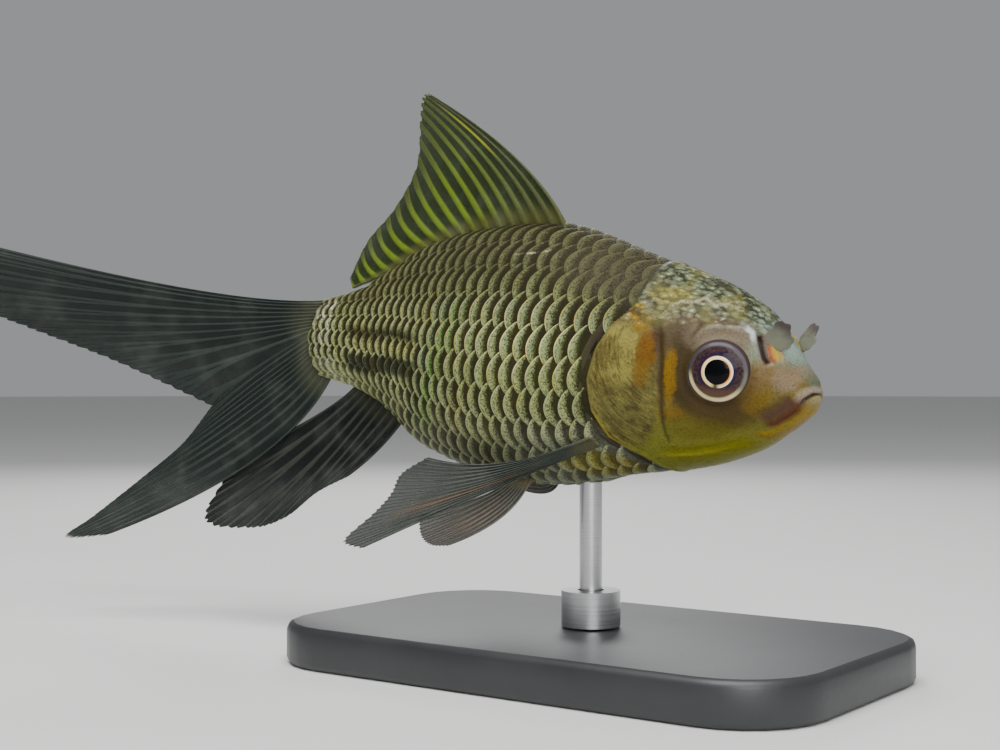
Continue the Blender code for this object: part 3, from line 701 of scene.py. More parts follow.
    cheek, share = line_field(start, "cheek_line")
    dark = (0.95 - share * 0.60 - abs(cheek + (mottle - 0.5) * 1.1)).eased(-0.15, 0.55)
    tone = (dark * 0.85).between(tone, pigment(58, 44, 28))

    ring = start.field("from_eye")
    # Painted shade below the eye, over a ring round its lower half.
    tone = (ring.eased(6.4, 4.3) * height.eased(0.05, -0.01) * 0.45).between(tone, pigment(66, 50, 34))
    tone = ring.eased(4.02, 3.82).between(tone, pigment(58, 48, 50))

    rough = crown.most(level.eased(0.080, 0.115)) * station.eased(0.035, 0.085)
    shaken = start.node("ShaderNodeVectorMath", {"operation": "MULTIPLY_ADD"},
                        {0: start.grain(700.0, 2.0, 0.5).also("Color"), 1: (0.0009, 0.0009, 0.0009),
                         2: start.object_place()})
    drawn = start.node("ShaderNodeVectorMath", {"operation": "MULTIPLY"}, {0: shaken, 1: (0.50, 0.8, 1.0)})
    cells = start.cells(1500.0, drawn)
    # Darker on the creases between the crown's cells, a painted shade, and paler on their raised middles, a
    # painted highlight.
    tone = (cells.eased(0.40, 0.68) * rough * 0.90).between(tone, pigment(42, 42, 30))
    pale_middles = cells.eased(0.34, 0.10) * mottle.eased(0.38, 0.58) * rough
    tone = (pale_middles * 0.85).between(tone, pigment(212, 218, 182))
    # Painted shade in the troughs of the crown's folds, and a painted highlight on their crests.
    tone = (wrinkle.eased(-0.20, -0.70) * rough * 0.55).between(tone, pigment(72, 68, 44))
    tone = (wrinkle.eased(0.30, 0.90) * rough * 0.45).between(tone, pigment(178, 178, 140))
    tone = (cloud.eased(0.48, 0.62) * rough * 0.35).between(tone, pigment(150, 144, 78))
    canal = line_field(start, "canal_line")[0]
    broken = mottle.eased(0.42, 0.56)
    tone = (canal.near(0.0, 0.40) * broken * 0.70).between(tone, pigment(206, 198, 166))
    tone = (fine.eased(0.47, 0.34) * (1.0 - rough * 0.5) * 0.30).between(tone, pigment(52, 42, 24))
    return tone, (1.0 - cells) * rough


def make_skin_finish():
    finish, shader, start = new_finish("wet_skin", 0.50, coat=0.05, coat_roughness=0.20, specular=0.12)
    station, height, left = fish_signals(start)
    rise = start.field("rise")
    behind = start.field("behind_gill")
    body = body_tones(start, station, height, left, rise)[0]
    head, crown_folds = head_tones(start, station, height, rise)
    speck = start.grain(4200.0, 3.0, 0.7)
    nape = height.eased(0.085, 0.135)
    tone = (behind + (speck - 0.5) * nape * 3.0).eased(-0.10, 0.25).between(head, body)
    # Behind the gill cover a dark band of bare membrane, darkest next to the cover's edge: partly a painted
    # shadow of the cover.
    low_side = height.eased(0.135, 0.085)
    band = behind.eased(-0.10, 0.15) * behind.eased(3.2, 1.5) * low_side
    band_tone = behind.eased(0.3, 2.2).between(pigment(50, 42, 36), pigment(74, 66, 50))
    tone = (band * 0.95).between(tone, band_tone)
    edge = behind.near(-0.35, 0.45) * height.eased(-0.035, -0.065) * station.eased(0.24, 0.27)
    tone = (edge * 0.9).between(tone, pigment(190, 174, 74))
    tone = (behind.near(-0.30, 0.30) * height.eased(0.09, 0.02) * 0.35).between(tone, pigment(160, 148, 96))
    tone = (speck.eased(0.50, 0.36) * 0.40).between(tone, pigment(50, 42, 26))
    feed(shader, "Base Color", tone)
    beside_fin = rise.eased(0.78, 0.90) * station.eased(0.44, 0.47) * station.eased(0.88, 0.84)
    feed(shader, "Roughness", beside_fin * 0.45 + 0.50)
    pores = start.grain(2600.0, 3.0, 0.6) * 0.35 + start.grain(900.0, 2.0, 0.5) * 0.25
    feed_bump(shader, pores + crown_folds * 0.4, 0.00034, 0.7)
    return finish


skin.data.materials.append(make_skin_finish())
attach(skin, "root")
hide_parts("head", "jaw", "gill_cover_left", "gill_cover_right", "trunk", "tail_stem")

# ------------------------------------------------------------------------------------ the scales
# Thin round plates of bone under clear skin overlap like roof tiles from the shoulder to the tail, in
# rows along the flank. Each is rooted towards the head and free at its rear edge, which has a bright
# rim; the rim's shine is partly a painted highlight, and towards its root each plate is darkened by its
# own pigment and by a painted shadow of the plate in front. The flank plates are the largest. A single
# row lies over the back and another along the keel.
SCALE_PITCH = ((0.15, 0.00222), (0.45, 0.00224), (0.62, 0.00210), (0.78, 0.00190), (0.90, 0.00172),
               (1.04, 0.00156))
ROW_SPACING = ((0.15, 0.00420), (0.35, 0.00440), (0.52, 0.00445), (0.68, 0.00385), (0.80, 0.00310),
               (0.90, 0.00260), (1.04, 0.00220))
ROWS_ABOVE = 8
ROWS_BELOW = 7
FIRST_SCALE = 0.13
LAST_SCALE = 1.014
PLATE_ACROSS = 10
PLATE_ALONG = 7
PLATE_FRONT = -1.10
PLATE_REAR = 0.64
PLATE_HALF_HEIGHT = 0.67
PLATE_THICKNESS = 0.00013
PLATE_RISE = 0.00020
PLATE_CROWN = 0.00016
PLATE_EDGE_DROP = 0.00007
BAKE_PATCH = 0.004
# radians of the wave that draws the growth rings, from a scale's root to its rim
GROWTH_WAVE = 46.0
BACK_SPANS = ((0.250, 0.468), (0.950, LAST_SCALE))
KEEL_SPANS = ((0.33, 0.800), (0.94, LAST_SCALE))
TURN_SCATTER = math.radians(2.5)
SIZE_SCATTER = 0.035


def sheet_faces(rows, columns):
    """Faces of a thin closed sheet, the points of whose lower side come last: lower side, rim, upper side."""
    grid = np.arange(rows * columns).reshape(rows, columns)
    upper = np.stack([grid[:-1, :-1], grid[1:, :-1], grid[1:, 1:], grid[:-1, 1:]], axis=-1).reshape(-1, 4)
    border = np.concatenate([grid[0, :], grid[1:, -1], grid[-1, -2::-1], grid[-2:0:-1, 0]])
    after = np.roll(border, -1)
    rim = np.stack([border, after, after + grid.size, border + grid.size], axis=-1)
    return face_list(upper[:, ::-1] + grid.size, rim, upper)


def plate_mesh():
    """One scale, lying flat: x in pitches towards the tail, y in rows, z in metres."""
    down, across = np.meshgrid(np.linspace(0.0, 1.0, PLATE_ALONG + 1),
                               np.linspace(-1.0, 1.0, PLATE_ACROSS + 1), indexing="ij")
    rear = PLATE_REAR * (1.0 - np.abs(across) ** 1.95)
    front = PLATE_FRONT + 0.55 * across ** 2
    x = front + (1.0 - (1.0 - down) ** 1.15) * (rear - front)
    y = across * PLATE_HALF_HEIGHT * (1.0 - 0.10 * (1.0 - down) ** 2)
    top = PLATE_RISE * (x - PLATE_FRONT) + PLATE_CROWN * (1.0 - across ** 2) * (0.55 + 0.45 * down)
    top -= PLATE_EDGE_DROP * np.clip((down - 0.84) / 0.16, 0.0, 1.0) ** 2
    to_edge = np.maximum(np.abs(across), 1.25 * np.clip(down - 0.2, 0, 0.8))
    wall = PLATE_THICKNESS * (1.0 - 0.72 * to_edge ** 8)
    upper = np.stack([x, y, top], axis=-1).reshape(-1, 3)
    lower = np.stack([x, y, top - wall], axis=-1).reshape(-1, 3)
    faces = sheet_faces(PLATE_ALONG + 1, PLATE_ACROSS + 1)
    plate = new_piece("scale_pattern", np.vstack([upper, lower]), faces)
    spread = np.stack([down, across, np.zeros_like(down)], axis=-1).reshape(-1, 3)
    set_field(plate, "plate", np.vstack([spread, spread]))
    return plate


def scale_tree():
    """Puts a plate on every point, a little turned and sized by chance."""
    tree = bpy.data.node_groups.new("overlapping scales", "GeometryNodeTree")
    for name, kind in (("Roots", "Geometry"), ("Plate", "Object"), ("Turn Scatter", "Float"),
                       ("Size Scatter", "Float"), ("Seed", "Int"), ("Finish", "Material")):
        tree.interface.new_socket(name, in_out="INPUT", socket_type=f"NodeSocket{kind}")
    tree.interface.new_socket("Scales", in_out="OUTPUT", socket_type="NodeSocketGeometry")
    given = tree.nodes.new("NodeGroupInput").outputs
    result = tree.nodes.new("NodeGroupOutput").inputs

    def add(kind, **inputs):
        """A node with its sockets filled, each by a link or a fixed value."""
        node = tree.nodes.new(kind)
        for name, value in inputs.items():
            fill(node.inputs[name], value)
        return node

    def fill(socket, value):
        if isinstance(value, bpy.types.NodeSocket):
            tree.links.new(value, socket)
        else:
            socket.default_value = value

    def sum_of(operation, first, second):
        node = add("ShaderNodeMath")
        node.operation = operation
        fill(node.inputs[0], first)
        fill(node.inputs[1], second)
        return node.outputs[0]

    def chance(kind, lowest, highest, offset):
        """A random number, or three, for each plate, from the seed and an offset."""
        node = add("FunctionNodeRandomValue", Seed=sum_of("ADD", given["Seed"], offset))
        node.data_type = kind
        first, output = {"FLOAT_VECTOR": (0, 0), "FLOAT": (2, 1)}[kind]
        fill(node.inputs[first], lowest)
        fill(node.inputs[first + 1], highest)
        return node.outputs[output]

    def upright(value):
        return add("ShaderNodeCombineXYZ", Z=value).outputs[0]

    least_turn = upright(sum_of("MULTIPLY", given["Turn Scatter"], -1.0))
    turn = chance("FLOAT_VECTOR", least_turn, upright(given["Turn Scatter"]), 1)
    least_size = sum_of("SUBTRACT", 1.0, given["Size Scatter"])
    size = chance("FLOAT", least_size, sum_of("ADD", 1.0, given["Size Scatter"]), 2)
    plate = add("GeometryNodeObjectInfo", Object=given["Plate"])
    laid = add("GeometryNodeInstanceOnPoints", Points=given["Roots"], Instance=plate.outputs["Geometry"],
               Rotation=turn, Scale=size)
    toned = add("GeometryNodeStoreNamedAttribute", Geometry=laid.outputs[0], Name="tone",
                Value=chance("FLOAT", 0.0, 1.0, 3))
    toned.domain = "INSTANCE"
    joined = add("GeometryNodeRealizeInstances", Geometry=toned.outputs[0])
    painted = add("GeometryNodeSetMaterial", Geometry=joined.outputs[0], Material=given["Finish"])
    tree.links.new(painted.outputs[0], result["Scales"])
    return tree


def column_stations():
    """Station of each whole column of scales, from the pitch along the body."""
    pitch = np.array(SCALE_PITCH)
    stations = [FIRST_SCALE]
    while stations[-1] < BODY_END - 0.01:
        stations.append(stations[-1] + np.interp(stations[-1], pitch[:, 0], pitch[:, 1]) / STANDARD_LENGTH)
    return np.array(stations)


COLUMNS = column_stations()
GIRTH_STATIONS = np.linspace(0.10, BODY_END - 0.0005, 190)
GIRTH_TURNS = np.linspace(-math.pi / 2, 1.5 * math.pi, 721)
GIRTH_REACH = np.linspace(-0.052, 0.052, 1041)


def girth_tables():
    """For each station: the turn at each distance round from the mid-flank, and the way to back and keel."""
    turns, to_back, to_keel = [], [], []
    middle = np.searchsorted(GIRTH_TURNS, math.pi / 2)
    for station in GIRTH_STATIONS:
        ring = body_points(np.full(len(GIRTH_TURNS), station), GIRTH_TURNS)
        way = np.concatenate([[0.0], np.cumsum(np.linalg.norm(np.diff(ring, axis=0), axis=1))])
        up = way[middle] - way
        turns.append(np.interp(GIRTH_REACH, up[::-1], GIRTH_TURNS[::-1]))
        to_back.append(np.interp(0.0, GIRTH_TURNS, up))
        to_keel.append(np.interp(math.pi, GIRTH_TURNS, up))
    return np.array(turns), np.array(to_back), np.array(to_keel)


TURN_TABLE, BACK_REACH, KEEL_REACH = girth_tables()


def table_place(value, steps):
    """The whole step of an even scale below a value, and the share of the way to the next one."""
    place = np.clip(np.interp(value, steps, np.arange(len(steps))), 0, len(steps) - 1.001)
    whole = place.astype(int)
    return whole, place - whole


def turn_at(station, up):
    """The turn round the form at a distance up from the mid-flank, measured over the skin."""
    row, down = table_place(station, GIRTH_STATIONS)
    column, across = table_place(up, GIRTH_REACH)
    low = TURN_TABLE[row, column] * (1 - across) + TURN_TABLE[row, column + 1] * across
    high = TURN_TABLE[row + 1, column] * (1 - across) + TURN_TABLE[row + 1, column + 1] * across
    return low * (1 - down) + high * down


def row_spacing(station):
    table = np.array(ROW_SPACING)
    return curve_through(table[:, 0], table[:, 1], station)


def station_of(column):
    return np.interp(column, np.arange(len(COLUMNS)), COLUMNS)


def lean(row):
    """How many columns a scale is set forward: the rows above the mid-flank slant towards the head."""
    return np.where(row < 1.2, 0.30 * row + 0.10 * np.maximum(row, -2.5) ** 2, 0.504 + 0.54 * (row - 1.2))


def up_of(station, row, middle):
    """Distance up from the mid-flank of a row; the back's and the keel's rows follow their own line."""
    line = {"flank": np.zeros(len(GIRTH_STATIONS)), "back": BACK_REACH, "keel": KEEL_REACH}[middle]
    return np.interp(station, GIRTH_STATIONS, line) + row * row_spacing(station)


def flank_roots():
    """Columns and rows of the scales of one flank, every other row half a pitch on."""
    roots = []
    for row in range(-ROWS_BELOW, ROWS_ABOVE + 1):
        columns = np.arange(-10, len(COLUMNS) + 10) + 0.5 * (row % 2)
        leant = columns - lean(float(row))
        station = station_of(leant)
        up = up_of(station, row, "flank")
        spacing = row_spacing(station)
        inside = (leant > 0.0) & (leant < len(COLUMNS) - 1) & (station < LAST_SCALE)
        inside &= up < np.interp(station, GIRTH_STATIONS, BACK_REACH) - 0.30 * spacing
        inside &= up > np.interp(station, GIRTH_STATIONS, KEEL_REACH) + 0.30 * spacing
        height = body_points(station, turn_at(station, up))[:, 2] / STANDARD_LENGTH
        inside &= behind_gill_line(station, height) > 0.0012 - 0.0015 * eased(height, 0.09, 0.14)
        roots += [(column, row, 0.0) for column in columns[inside]]
    return roots


def line_roots(spans):
    """Columns of a single row of scales within some stretches of the body."""
    columns = np.arange(len(COLUMNS) - 1) + 0.25
    station = station_of(columns)
    return [(column, 0.0, 0.0) for column, place in zip(columns, station)
            if any(first < place < last for first, last in spans)]


def wrapped(points, side, middle, lift):
    """Points of the flat layout laid round the body, with their turn and station."""
    column = points[:, 0] - (lean(points[:, 1]) if middle == "flank" else 0.0)
    station = np.clip(station_of(column), 0.12, BODY_END - 0.002)
    turn = turn_at(station, up_of(station, points[:, 1], middle))
    placed = body_points(station, turn)
    towards_back = 0.45 * eased(np.cos(turn), 0.5, 0.8) + 0.25 * eased(np.cos(turn), 0.8, 0.97)
    flatter = 1.0 - towards_back * eased(-station, -0.48, -0.34)
    placed += body_normals(station, turn) * (points[:, 2] * flatter - SCALE_DEPTH + lift)[:, None]
    placed[:, 1] *= side
    return placed, station, turn


def make_scales(name, roots, side, middle, tree, finish, plate, seed, lift=0.0):
    """One coat: plates laid out flat on the roots by the tree, then wrapped round the body."""
    coat = new_piece(name, np.array(roots), [])
    set_field(coat, "root", np.array(roots))
    layer = coat.modifiers.new("scales", "NODES")
    layer.node_group = tree
    given = {"Plate": plate, "Turn Scatter": TURN_SCATTER, "Size Scatter": SIZE_SCATTER, "Seed": seed,
             "Finish": finish}
    for socket in tree.interface.items_tree:
        if socket.in_out == "INPUT" and socket.name in given:
            layer[socket.identifier] = given[socket.name]
    graph = bpy.context.evaluated_depsgraph_get()
    mesh = bpy.data.meshes.new_from_object(coat.evaluated_get(graph), preserve_all_data_layers=True,
                                           depsgraph=graph)
    coat.modifiers.clear()
    coat.data = mesh
    flat, root, plate_place = np.empty((3, len(mesh.vertices) * 3), np.float32)
    mesh.vertices.foreach_get("co", flat)
    mesh.attributes["root"].data.foreach_get("vector", root)
    mesh.attributes["plate"].data.foreach_get("vector", plate_place)
    placed, _, turn = wrapped(flat.reshape(-1, 3).astype(float), side, middle, lift)
    mesh.vertices.foreach_set("co", in_the_room(placed).astype(np.float32).ravel())
    if side < 0:
        mesh.flip_normals()
    mesh.shade_smooth()
    mesh.update()
    set_field(coat, "rise", np.cos(turn))
    _, root_station, root_turn = wrapped(root.reshape(-1, 3).astype(float), side, middle, 0.0)
    unwrapped = np.stack([(side * root_turn / (2.0 * math.pi)) % 1.0, share_along(root_station)], axis=1)
    own = plate_place.reshape(-1, 3)[:, 1::-1] - np.array([0.0, 0.5])
    own[:, 0] *= 0.5
    corner_points = np.empty(len(mesh.loops), np.int32)
    mesh.loops.foreach_get("vertex_index", corner_points)
    set_bake_map(coat, (unwrapped + own * BAKE_PATCH)[corner_points])
    return coat


def make_scale_finish():
    finish, shader, start = new_finish("scales", 0.48, specular=0.03)
    station, height, left = fish_signals(start)
    rise = start.field("rise")
    tone, marked = body_tones(start, station, height, left, rise)
    chance = start.field("tone")
    down = start.node("ShaderNodeSeparateXYZ", None, {"Vector": start.field("plate", "Vector")})
    across = down.also("Y")
    speck = start.grain(3700.0, 3.0, 0.75)
    upper = rise.eased(0.25, 0.70)
    lower = rise.eased(-0.35, -0.80)
    # The rows of the upper mid flank get painted highlights on their rims and a bluish painted sheen.
    bright = station.near(0.44, 0.26) * rise.near(0.24, 0.36)
    nape = station.eased(0.46, 0.34) * rise.eased(0.50, 0.72)
    stem = station.eased(0.60, 0.78)
    tone = (chance * (1.0 - marked) * (0.30 - upper * 0.20)).between(tone, pigment(190, 194, 142))
    tone = ((1.0 - chance).eased(0.45, 1.0) * 0.45).between(tone, pigment(78, 76, 50))
    # Bluish painted sheen on the pale part of these rows.
    tone = (bright * (down - across * 0.06).eased(0.60, 0.80) * 0.45).between(tone, pigment(150, 184, 158))
    pale = (down - across * 0.06).eased(0.62, 0.86) * (1.0 - upper * 0.70)
    tone = (pale * (1.0 - marked) * (0.45 + stem * 0.40)).between(tone, pigment(206, 213, 158))
    # Towards its root each scale darkens: its own dark pigment, and a painted shadow of the overlapping scale
    # in front.
    shade = (down - across * 0.12 - stem * 0.03 + (speck - 0.5) * 0.34).eased(0.78, 0.52)
    tone = (shade * (0.94 - lower * 0.30)).between(tone, pigment(46, 42, 30))
    tone = (speck.eased(0.53, 0.42) * (0.76 - lower * 0.25)).between(tone, pigment(48, 46, 34))
    glints = speck.eased(0.57, 0.70) * (1.0 - shade) * (1.0 - upper * 0.6)
    tone = (glints * 0.40).between(tone, pigment(212, 210, 170))
    # The pale shiny rim at each scale's rear edge; its bright tone is partly a painted highlight.
    rim = (down + (speck - 0.5) * 0.06).eased(0.885, 0.945)
    warm = start.grain(330.0, 1.0, 0.5).eased(0.46, 0.62)
    rim_highlight_tone = warm.between(display(196, 202, 160), display(214, 194, 92))
    rim_highlight_tone = (bright * 0.85).between(rim_highlight_tone, display(244, 226, 138))
    rim_highlight_tone = (lower * 0.7).between(rim_highlight_tone, pigment(176, 178, 150))
    rim_highlight_tone = upper.between(rim_highlight_tone, pigment(124, 122, 84))
    rim_share = (0.40 + bright * 0.60 + chance * 0.25 - lower * 0.20).least(1.0) * (1.0 - marked * 0.6)
    tone = (rim * rim_share).between(tone, rim_highlight_tone)
    tone = (nape * speck.eased(0.36, 0.60) * 0.80).between(tone, pigment(88, 84, 68))
    feed(shader, "Base Color", tone)
    feed(shader, "Metallic", (rim * 0.25 + 0.10) * (1.0 - upper))
    ridges = ((down * GROWTH_WAVE).sine() * 0.5 + 0.5) * 0.35 + speck * 0.65
    feed_bump(shader, ridges, 0.00010, 0.6)
    return finish


plate = plate_mesh()
tree = scale_tree()
scale_finish = make_scale_finish()
flank = flank_roots()
for name, roots, side, middle, seed, lift in (
        ("scales_left", flank, 1, "flank", 11, 0.0),
        ("scales_right", flank, -1, "flank", 23, 0.0),
        ("scales_back", line_roots(BACK_SPANS), 1, "back", 37, 0.00002),
        ("scales_keel", line_roots(KEEL_SPANS), 1, "keel", 41, 0.00006)):
    coat = make_scales(name, roots, side, middle, tree, scale_finish, plate, seed, lift)
    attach(coat, "root")
bpy.data.objects.remove(plate, do_unlink=True)

# ------------------------------------------------------------------------------------ the eyes
# Each eye is a glossy ball set deep in the head and turned a little forward: a round black pupil whose
# lens bulges out of it, a thin ring of pale gold, and a dark violet-brown iris. The rings' radii are
# millimetres.
EYE_RADIUS = 0.00418
EYE_DEPTH = 0.00208
EYE_SPREAD = 0.0079
EYE_FULLNESS = 2.5
PUPIL = 1.64
GOLD_RING = 2.05
IRIS = 3.42
LENS_EDGE = 0.0025
LENS_DIP = 0.00016
LENS_DIP_WIDTH = 0.0008
EYE_RINGS = 110
EYE_SIDES = 96


def make_eye(word, side, finish):
    """A flattened ball that looks outward and a little forward, with a shallow dip round its lens."""
    tip = np.linspace(0.0, math.pi, EYE_RINGS + 1)[1:-1]
    around = np.arange(EYE_SIDES) * 2.0 * math.pi / EYE_SIDES
    radius = EYE_RADIUS * np.sin(tip) ** (2.0 / EYE_FULLNESS)
    depth = EYE_DEPTH * np.sign(np.cos(tip)) * np.abs(np.cos(tip)) ** (2.0 / EYE_FULLNESS)
    depth -= (depth > 0.0) * LENS_DIP * bell(radius, LENS_EDGE, LENS_DIP_WIDTH)
    rings = np.stack([radius[:, None] * np.cos(around), depth[:, None] + 0.0 * around,
                      radius[:, None] * np.sin(around)], axis=-1).reshape(-1, 3)
    ball = np.vstack([rings, [(0.0, EYE_DEPTH, 0.0), (0.0, -EYE_DEPTH, 0.0)]])
    from_axis = np.hypot(ball[:, 0], ball[:, 2]) * 1000.0 + np.where(ball[:, 1] < 0.0, 9.0, 0.0)
    ball[:, 1] *= side
    looking = turned(ball, -side * EYE_FORWARD, 0, 1)
    centre = np.array([along(EYE_STATION), side * EYE_SPREAD, EYE_HEIGHT * STANDARD_LENGTH])
    faces = face_list(*closed_faces(len(tip), EYE_SIDES), flipped=side > 0)
    eye = new_piece(f"eyeball_{word}", in_the_room(looking + centre), faces)
    set_field(eye, "from_axis", from_axis)
    set_field(eye, "up", ball[:, 2] * 1000.0)
    set_field(eye, "forward", ball[:, 0] * 1000.0)
    eye.data.materials.append(finish)
    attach(eye, "root")
    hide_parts(f"eye_{word}")


def make_eye_finish():
    """Rings of colour by the distance from the eye's axis in millimetres, uneven round the eye as in life."""
    finish, shader, start = new_finish("wet_eye", 0.34, coat=0.13, coat_roughness=0.03, specular=0.05)
    away = start.field("from_axis")
    up = start.field("up")
    forward = start.field("forward")
    fibre = start.grain(3800.0, 3.0, 0.7)
    iris = fibre.eased(0.35, 0.65).between(display(30, 20, 26), display(68, 48, 46))
    iris = (away.eased(2.80, 2.20) * 0.8).between(iris, display(22, 14, 52))
    iris = (up.eased(-1.4, -2.7) * 0.60).between(iris, display(88, 66, 44))
    edge_tone = up.eased(1.6, -1.4).between(display(84, 80, 86), display(108, 108, 92))
    rear = forward.eased(-1.0, -2.8) * up.eased(-1.8, 0.0)
    edge_tone = (rear * 0.75).between(edge_tone, display(56, 48, 44))
    edge_tone = (up + forward * 0.28).eased(-0.6, -2.6).between(edge_tone, display(214, 202, 150))
    iris = (away.eased(IRIS - 0.26, IRIS + 0.12) * 0.95).between(iris, edge_tone)
    iris = away.eased(3.70, 3.92).between(iris, display(58, 46, 46))
    inner = forward.eased(-0.6, 1.6).between(display(228, 226, 170), display(228, 132, 40))
    outer = forward.eased(-1.2, 1.4).between(display(240, 196, 110), display(246, 236, 190))
    ring = away.eased(1.70, 1.94).between(inner, outer)
    gap = forward.near(-0.15, 0.75) * up.eased(-1.2, -1.55)
    ring = (gap * 0.96).between(ring, display(52, 34, 28))
    tone = away.eased(GOLD_RING - 0.06, GOLD_RING + 0.06).between(ring, iris)
    tone = away.eased(PUPIL + 0.04, PUPIL - 0.04).between(tone, display(1, 2, 4))
    feed(shader, "Base Color", tone)
    return finish


eye_finish = make_eye_finish()
for word, side in (("left", 1), ("right", -1)):
    make_eye(word, side, eye_finish)

# ------------------------------------------------------------------------------------ the nasal flaps
# Over each nostril stands a soft grey flap of skin with a torn, lobed edge. It is cupped, leans
# outward and turns its hollow side to the front.
FLAP_SIZE = (0.0019, 0.0006, 0.0022)
FLAP_STATION = 0.040
FLAP_HEIGHT = 0.086
FLAP_SPREAD = 0.0042
FLAP_LEAN = math.radians(24.0)
FLAP_TWIST = math.radians(-28.0)
FLAP_LOBES = 11
FLAP_RINGS = 40
FLAP_SIDES = 72
FLAP_CUP = 0.42
# where round the flap its edge is torn in, how wide and how deep
FLAP_TEARS = ((0.25, 0.40, 0.30), (2.4, 0.45, 0.24), (1.3, 0.25, 0.12))


def make_flap(word, side, finish):
    tip = np.linspace(0.0, math.pi, FLAP_RINGS + 1)[1:-1]
    around = np.arange(FLAP_SIDES) * 2.0 * math.pi / FLAP_SIDES
    tip_grid, around_grid = np.meshgrid(tip, around, indexing="ij")
    breadth = np.sin(tip_grid)
    torn = sum(deep * bell(around_grid, place, wide) for place, wide, deep in FLAP_TEARS)
    lobes = 1.0 - (torn + 0.03 * np.cos(FLAP_LOBES * around_grid)) * breadth ** 2
    x = breadth * np.cos(around_grid) * lobes
    z = breadth * np.sin(around_grid) * lobes
    y = np.cos(tip_grid) * (0.42 + 0.20 * np.sin(3.0 * around_grid) * breadth)
    y = y + FLAP_CUP * (x ** 2 + 0.5 * z ** 2) - 0.20
    rings = np.stack([x, np.clip(y, -0.95, 0.95), z], axis=-1).reshape(-1, 3)
    shape = np.vstack([rings, [(0.0, 0.22, 0.0), (0.0, -0.62, 0.0)]]) * (np.array(FLAP_SIZE) - 0.00002)
    shape[:, 1] *= side
    standing = turned(turned(shape, -side * FLAP_LEAN, 1, 2), side * FLAP_TWIST, 0, 1)
    centre = np.array([along(FLAP_STATION), side * FLAP_SPREAD, FLAP_HEIGHT * STANDARD_LENGTH])
    faces = face_list(*closed_faces(len(tip), FLAP_SIDES), flipped=side > 0)
    flap = new_piece(f"nose_flap_{word}", in_the_room(standing + centre), faces)
    set_field(flap, "up", standing[:, 2] * 1000.0 + standing[:, 0] * 500.0)
    flap.data.materials.append(finish)
    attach(flap, "root")
    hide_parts(f"nasal_flap_{word}")


def make_flap_finish():
    finish, shader, start = new_finish("flap_skin", 0.55, specular=0.12)
    cloud = start.grain(420.0, 2.0, 0.5)
    tone = cloud.eased(0.35, 0.65).between(pigment(124, 126, 112), pigment(140, 142, 126))
    # The flap darkens from its root to its tip: a painted shade.
    feed(shader, "Base Color", start.field("up").eased(-0.2, 1.8).between(tone, pigment(84, 77, 74)))
    feed_bump(shader, start.grain(2400.0, 2.0, 0.5), 0.00006, 0.4)
    return finish


flap_finish = make_flap_finish()
for word, side in (("left", 1), ("right", -1)):
    make_flap(word, side, flap_finish)

# ------------------------------------------------------------------------------------ the fins
# Every fin is a fan of bony rays with thin clear skin between them. The rays are stoutest at the
# root, fork twice on their way and end in the soft margin; the skin draws back a little between them.
# A line of a fin is station and height, and for the paired fins also the distance out.
DORSAL_BASE = (0.478, 0.940)
DORSAL_MIDDLE = ((0.550, 0.372), (0.618, 0.372), (0.690, 0.340), (0.775, 0.290), (0.850, 0.235),
                 (0.905, 0.180), (0.945, 0.136))
DORSAL_MARGIN = ((0.768, 0.478), (0.782, 0.472), (0.788, 0.432), (0.797, 0.350), (0.848, 0.275),
                 (0.908, 0.215), (0.948, 0.144))
ANAL_BASE = (0.806, 0.930)
ANAL_MIDDLE = ((0.850, -0.175), (0.905, -0.190), (0.950, -0.205), (0.990, -0.208), (1.015, -0.180),
               (1.000, -0.120))
ANAL_MARGIN = ((0.915, -0.222), (0.990, -0.262), (1.062, -0.318), (1.150, -0.348), (1.275, -0.343),
               (1.195, -0.205))
UPPER_LOBE_ROOT = ((1.022, 0.100), (1.031, 0.088), (1.038, 0.074), (1.043, 0.060), (1.046, 0.047),
                   (1.046, 0.029))
UPPER_LOBE_MIDDLE = ((1.240, 0.076), (1.290, 0.068), (1.290, 0.050), (1.280, 0.020), (1.240, -0.005),
                     (1.157, -0.034))
UPPER_LOBE_MARGIN = ((1.780, 0.205), (1.825, 0.178), (1.730, 0.075), (1.590, 0.014), (1.430, -0.045),
                     (1.243, -0.120))
LOWER_LOBE_ROOT = ((1.046, 0.033), (1.045, 0.010), (1.042, -0.006), (1.034, -0.022), (1.018, -0.041),
                   (0.988, -0.054))
LOWER_LOBE_MIDDLE = ((1.157, -0.030), (1.180, -0.080), (1.180, -0.115), (1.165, -0.150),
                     (1.135, -0.190), (1.090, -0.230))
LOWER_LOBE_MARGIN = ((1.245, -0.116), (1.315, -0.203), (1.405, -0.283), (1.500, -0.365),
                     (1.552, -0.409), (1.465, -0.396))
PECTORAL_ROOT = ((0.328, -0.091, 0.120), (0.327, -0.097, 0.117), (0.326, -0.104, 0.113),
                 (0.325, -0.110, 0.109))
PECTORAL_MIDDLE = ((0.460, -0.169, 0.160), (0.473, -0.179, 0.164), (0.486, -0.189, 0.168),
                   (0.496, -0.196, 0.170), (0.505, -0.202, 0.172), (0.510, -0.207, 0.174))
PECTORAL_MARGIN = ((0.608, -0.149, 0.170), (0.656, -0.182, 0.179), (0.670, -0.217, 0.186),
                   (0.701, -0.254, 0.193), (0.756, -0.306, 0.200), (0.713, -0.314, 0.202))
PELVIC_ROOT = ((0.485, -0.187, 0.047), (0.501, -0.189, 0.043), (0.518, -0.190, 0.039),
               (0.534, -0.190, 0.035))
PELVIC_MIDDLE = ((0.488, -0.252, 0.088), (0.515, -0.244, 0.082), (0.541, -0.233, 0.076),
                 (0.563, -0.222, 0.070))
